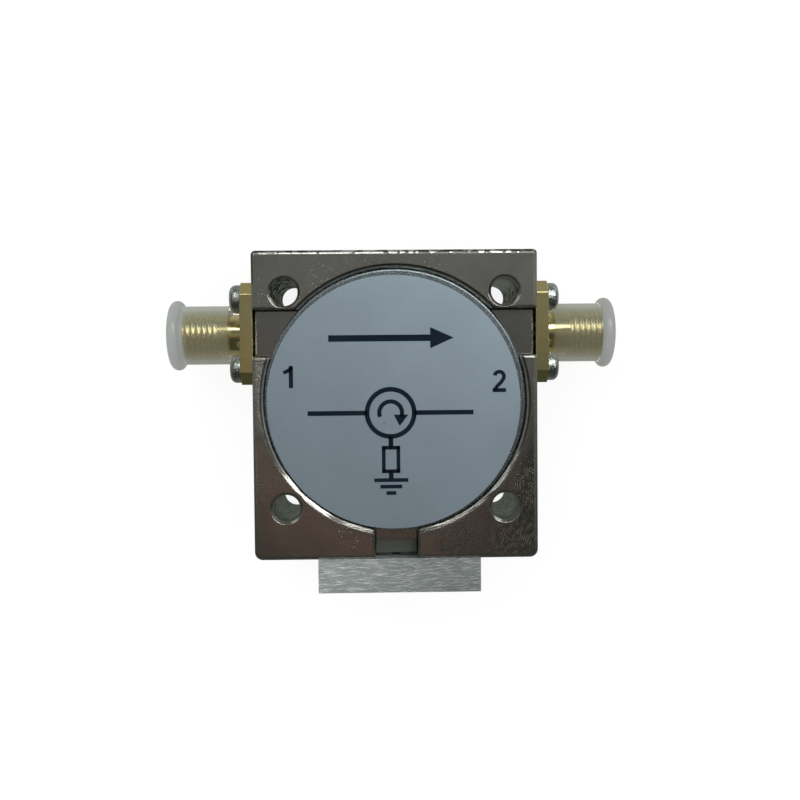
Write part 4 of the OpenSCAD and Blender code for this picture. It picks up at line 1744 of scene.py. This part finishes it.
@dataclass
class Room:
    """A dark room round the object that only reflections see. A pair of colours is for the
    front and the back, or for the left and the right. Headings are angles in radians from
    the back towards the right, and heights are sines."""

    radius: float = 400.0
    # The clear circle under the object, its level, and the level of the horizon
    clear_r: float = 17.0
    ground_z: float = 0.3
    part_z: float = 11.0
    ground: Pair = ((0.17, 0.17, 0.16), (0.34, 0.345, 0.33))
    horizon: Pair = ((0.048, 0.060, 0.048), (0.24, 0.25, 0.23))
    front_wall: Colour = (0.041, 0.048, 0.042)
    back_wall: Pair = ((0.09, 0.09, 0.085), (0.15, 0.15, 0.145))
    # The strips' colour, height and headings, and how strong the left one is
    strip: Colour = (0.95, 0.98, 0.93)
    strip_rise: Band = (0.03, 0.10, 0.06)
    right_strip: Band = (0.78, 0.2, 0.15)
    left_strip: Band = (-0.78, 0.2, 0.15)
    left_share: float = 0.5
    # The main panes' colours and heading, then those of the one on the left
    panes: Pair = ((3.4, 3.5, 3.4), (4.6, 4.8, 4.5))
    panes_turn: Band = (0.37, 0.72, 0.15)
    left_pane: Colour = (1.8, 1.88, 1.82)
    left_turn: Band = (-0.85, 0.3, 0.12)
    # The height of the panes' middle, half their size on the left, what they gain towards
    # the right, and their soft margin
    panes_rise: float = 0.79
    panes_half: float = 0.02
    panes_gain: float = 0.05
    panes_soft: float = 0.04
    # The dim panes on both sides
    beside: Colour = (0.35, 0.37, 0.34)
    beside_turn: Band = (1.57, 0.25, 0.1)
    beside_rise: Band = (0.70, 0.04, 0.04)
    front_ceiling: Pair = ((0.182, 0.126, 0.103), (0.005, 0.011, 0.015))
    back_ceiling: Pair = ((0.187, 0.205, 0.195), (0.176, 0.185, 0.178))

    def build(self) -> None:
        """Stands the room round the object: a ground with a clear circle in it, and a dome."""
        turn = np.radians(np.linspace(0, 90, 31))
        ground = np.array([[r, self.ground_z] for r in (self.clear_r, 60.0, 120.0, 240.0)])
        dome = self.radius * np.stack([np.cos(turn), np.sin(turn)], axis=1)
        made = add_mesh("room", revolve(np.vstack([ground, dome[:-1], [[0.5, self.radius]]]), 72))
        material = bpy.data.materials.new("dark_room")
        graph = Graph.of(material)
        colour = self.paint(graph.value("TexCoord", output="Object"))
        glow = graph.value("Emission", {"Color": colour, "Strength": 1.0})
        graph.node("OutputMaterial", {"Surface": glow})
        made.data.materials.append(material)
        for kind in ("camera", "diffuse", "shadow", "transmission", "volume_scatter"):
            setattr(made, f"visible_{kind}", False)
        made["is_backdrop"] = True

    def paint(self, place: Value) -> Value:
        """The room's light by the direction from the object. A window stands high at the
        back, with a dark wall under it and bright strips along the horizon. Above it is dim
        and cool at the back, and warm at the front left, and the front is nearly black.

        Args:
            place: Object coordinates in metres.

        Returns:
            The colour of the light.
        """
        rise = (place.z - self.part_z * MM) / place.length
        side = place.flat.unit
        turn = side.x.math("ARCTAN2", side.y)
        back = side.y.between(-0.4, 0.4)
        right = side.x.between(-0.3, 0.3)

        # The ground, the horizon and the walls
        wall = back.mix(self.front_wall, right.mix(*self.back_wall))
        room = rise.between(-0.22, -0.08).mix(back.mix(*self.ground), back.mix(*self.horizon))
        room = rise.between(0.08, 0.18).mix(room, wall)

        # The bright strips along the horizon
        strips = turn.band(*self.right_strip).most(turn.band(*self.left_strip) * self.left_share)
        room = (rise.band(*self.strip_rise) * strips).mix(room, self.strip)

        # The window's panes at the back, taller to the right, and the dim ones beside
        half = right * self.panes_gain + self.panes_half
        opening = abs(rise - self.panes_rise).between(half, half + self.panes_soft, 1.0, 0.0)
        room = (opening * turn.band(*self.panes_turn)).mix(room, right.mix(*self.panes))
        room = (opening * turn.band(*self.left_turn)).mix(room, self.left_pane)
        beside = abs(turn).band(*self.beside_turn) * rise.band(*self.beside_rise)
        room = beside.mix(room, self.beside)

        # The ceiling
        front = place.x.between(0.030, 0.072).mix(*self.front_ceiling)
        rear = place.x.between(-0.06, 0.07).mix(*self.back_ceiling)
        above = place.y.between(-0.07, 0.06).mix(front, rear)
        return rise.between(0.91, 0.97).mix(room, above)


@dataclass
class Lamp:
    """A soft square lamp that faces the origin, in metres and watts."""

    name: str
    place: Colour
    power: float
    size: float = 0.6

    def build(self) -> None:
        """Stands the lamp in the scene, hidden from reflections."""
        data = bpy.data.lights.new(self.name, "AREA")
        data.size = self.size
        data.energy = self.power
        made = bpy.data.objects.new(self.name, data)
        made.location = self.place
        made.rotation_euler = (-Vector(self.place)).to_track_quat("-Z", "Y").to_euler()
        made.visible_glossy = False
        bpy.context.scene.collection.objects.link(made)


@dataclass
class Studio:
    """A pale floor, two soft lamps, the camera, and the room."""

    # The camera's place in millimetres, its rotation vector in degrees, its focal length
    eye: Colour = (-1.58, 4.39, 130.28)
    turn: Colour = (-2.185, -1.072, -0.537)
    focal_px: float = 941.4
    sensor: float = 36.0
    lamps: tuple[Lamp, ...] = (
        Lamp("key_lamp", (-0.35, 0.45, 0.75), power=2.2),
        Lamp("fill_lamp", (0.5, 0.1, 0.7), power=0.8),
    )
    world_light: float = 0.72
    # The floor: its half width and drop, its colours in the light and to look at, and how
    # much of the second one shows
    floor_half: float = 3000.0
    floor_drop: float = 0.02
    floor_colour: Colour = (0.92, 0.92, 0.92)
    floor_white: float = 1.06
    floor_share: float = 0.84

    def camera(self) -> None:
        """Places the camera at the photograph's angle."""
        data = bpy.data.cameras.new("camera")
        data.sensor_width = self.sensor
        data.lens = self.focal_px * self.sensor / PIXELS
        data.clip_start = 0.002
        data.clip_end = 20.0
        made = bpy.data.objects.new("camera", data)
        turn = Vector(self.turn)
        rotation = Matrix.Rotation(math.radians(turn.length), 4, turn.normalized())
        made.matrix_world = Matrix.Translation(Vector(self.eye) * MM) @ rotation
        bpy.context.scene.collection.objects.link(made)
        bpy.context.scene.camera = made

    @staticmethod
    def seen(graph: Graph) -> Value:
        """One where the ray comes straight from the camera, or by gloss or glass.

        Args:
            graph: the writer of the tree that asks.

        Returns:
            The mask.
        """
        kinds = ("Camera", "Glossy", "Transmission")
        camera, gloss, glass = (graph.value("LightPath", output=f"Is {k} Ray") for k in kinds)
        return camera.most(gloss).most(glass)

    def world(self) -> None:
        """A white background to look at, and a plain soft light on the object."""
        world = bpy.data.worlds.new("plain_world")
        bpy.context.scene.world = world
        world.cycles.sampling_method = "NONE"
        graph = Graph.of(world)
        light = graph.value("Background", {"Color": (1, 1, 1), "Strength": self.world_light})
        white = graph.value("Background", {"Color": (1, 1, 1), "Strength": 1.0})
        mixed = graph.value("MixShader", {0: self.seen(graph), 1: light, 2: white})
        graph.node("OutputWorld", {"Surface": mixed})

    def floor(self) -> None:
        """A white floor that keeps a faint shadow, clear when it is seen from below."""
        corners = np.array([[-1, -1, 0], [1, -1, 0], [1, 1, 0], [-1, 1, 0]]) * self.floor_half
        made = add_mesh("floor", Surface(corners, np.array([[0, 1, 2, 3]])))
        made.location.z = -self.floor_drop * MM
        material = bpy.data.materials.new("pale_floor")
        graph = Graph.of(material)
        lit = graph.value("BsdfDiffuse", {"Color": self.floor_colour})
        white = graph.value("Emission", {"Color": (1, 1, 1), "Strength": self.floor_white})
        share = self.seen(graph) * self.floor_share
        mixed = graph.value("MixShader", {0: share, 1: lit, 2: white})
        below = graph.value("NewGeometry", output="Backfacing")
        clear = graph.value("BsdfTransparent")
        mixed = graph.value("MixShader", {0: below, 1: mixed, 2: clear})
        graph.node("OutputMaterial", {"Surface": mixed})
        made.data.materials.append(material)
        made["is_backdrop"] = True

    def build(self) -> None:
        """Sets up the whole studio."""
        self.camera()
        self.world()
        self.floor()
        for lamp in self.lamps:
            lamp.build()
        Room().build()
        bpy.context.scene.view_settings.view_transform = "Standard"


def plain(bounds: Sequence[Vector]) -> list[list[float]]:
    """A box as plain lists of numbers."""
    return [[float(v) for v in corner] for corner in bounds]


def main() -> None:
    """Builds the sub-assemblies in order."""
    logging.basicConfig(level=logging.INFO, format="%(name)s: %(message)s")
    cad_box = plain(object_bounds())
    Studio().build()
    Housing().dress()
    Cover().build()
    Junction().dress()
    for side in Side:
        jack = Jack(side)
        jack.build()
        jack.dress()
    Load().dress()
    {"cad": cad_box, "visual": plain(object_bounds())}


if __name__ == "__main__":
    main()
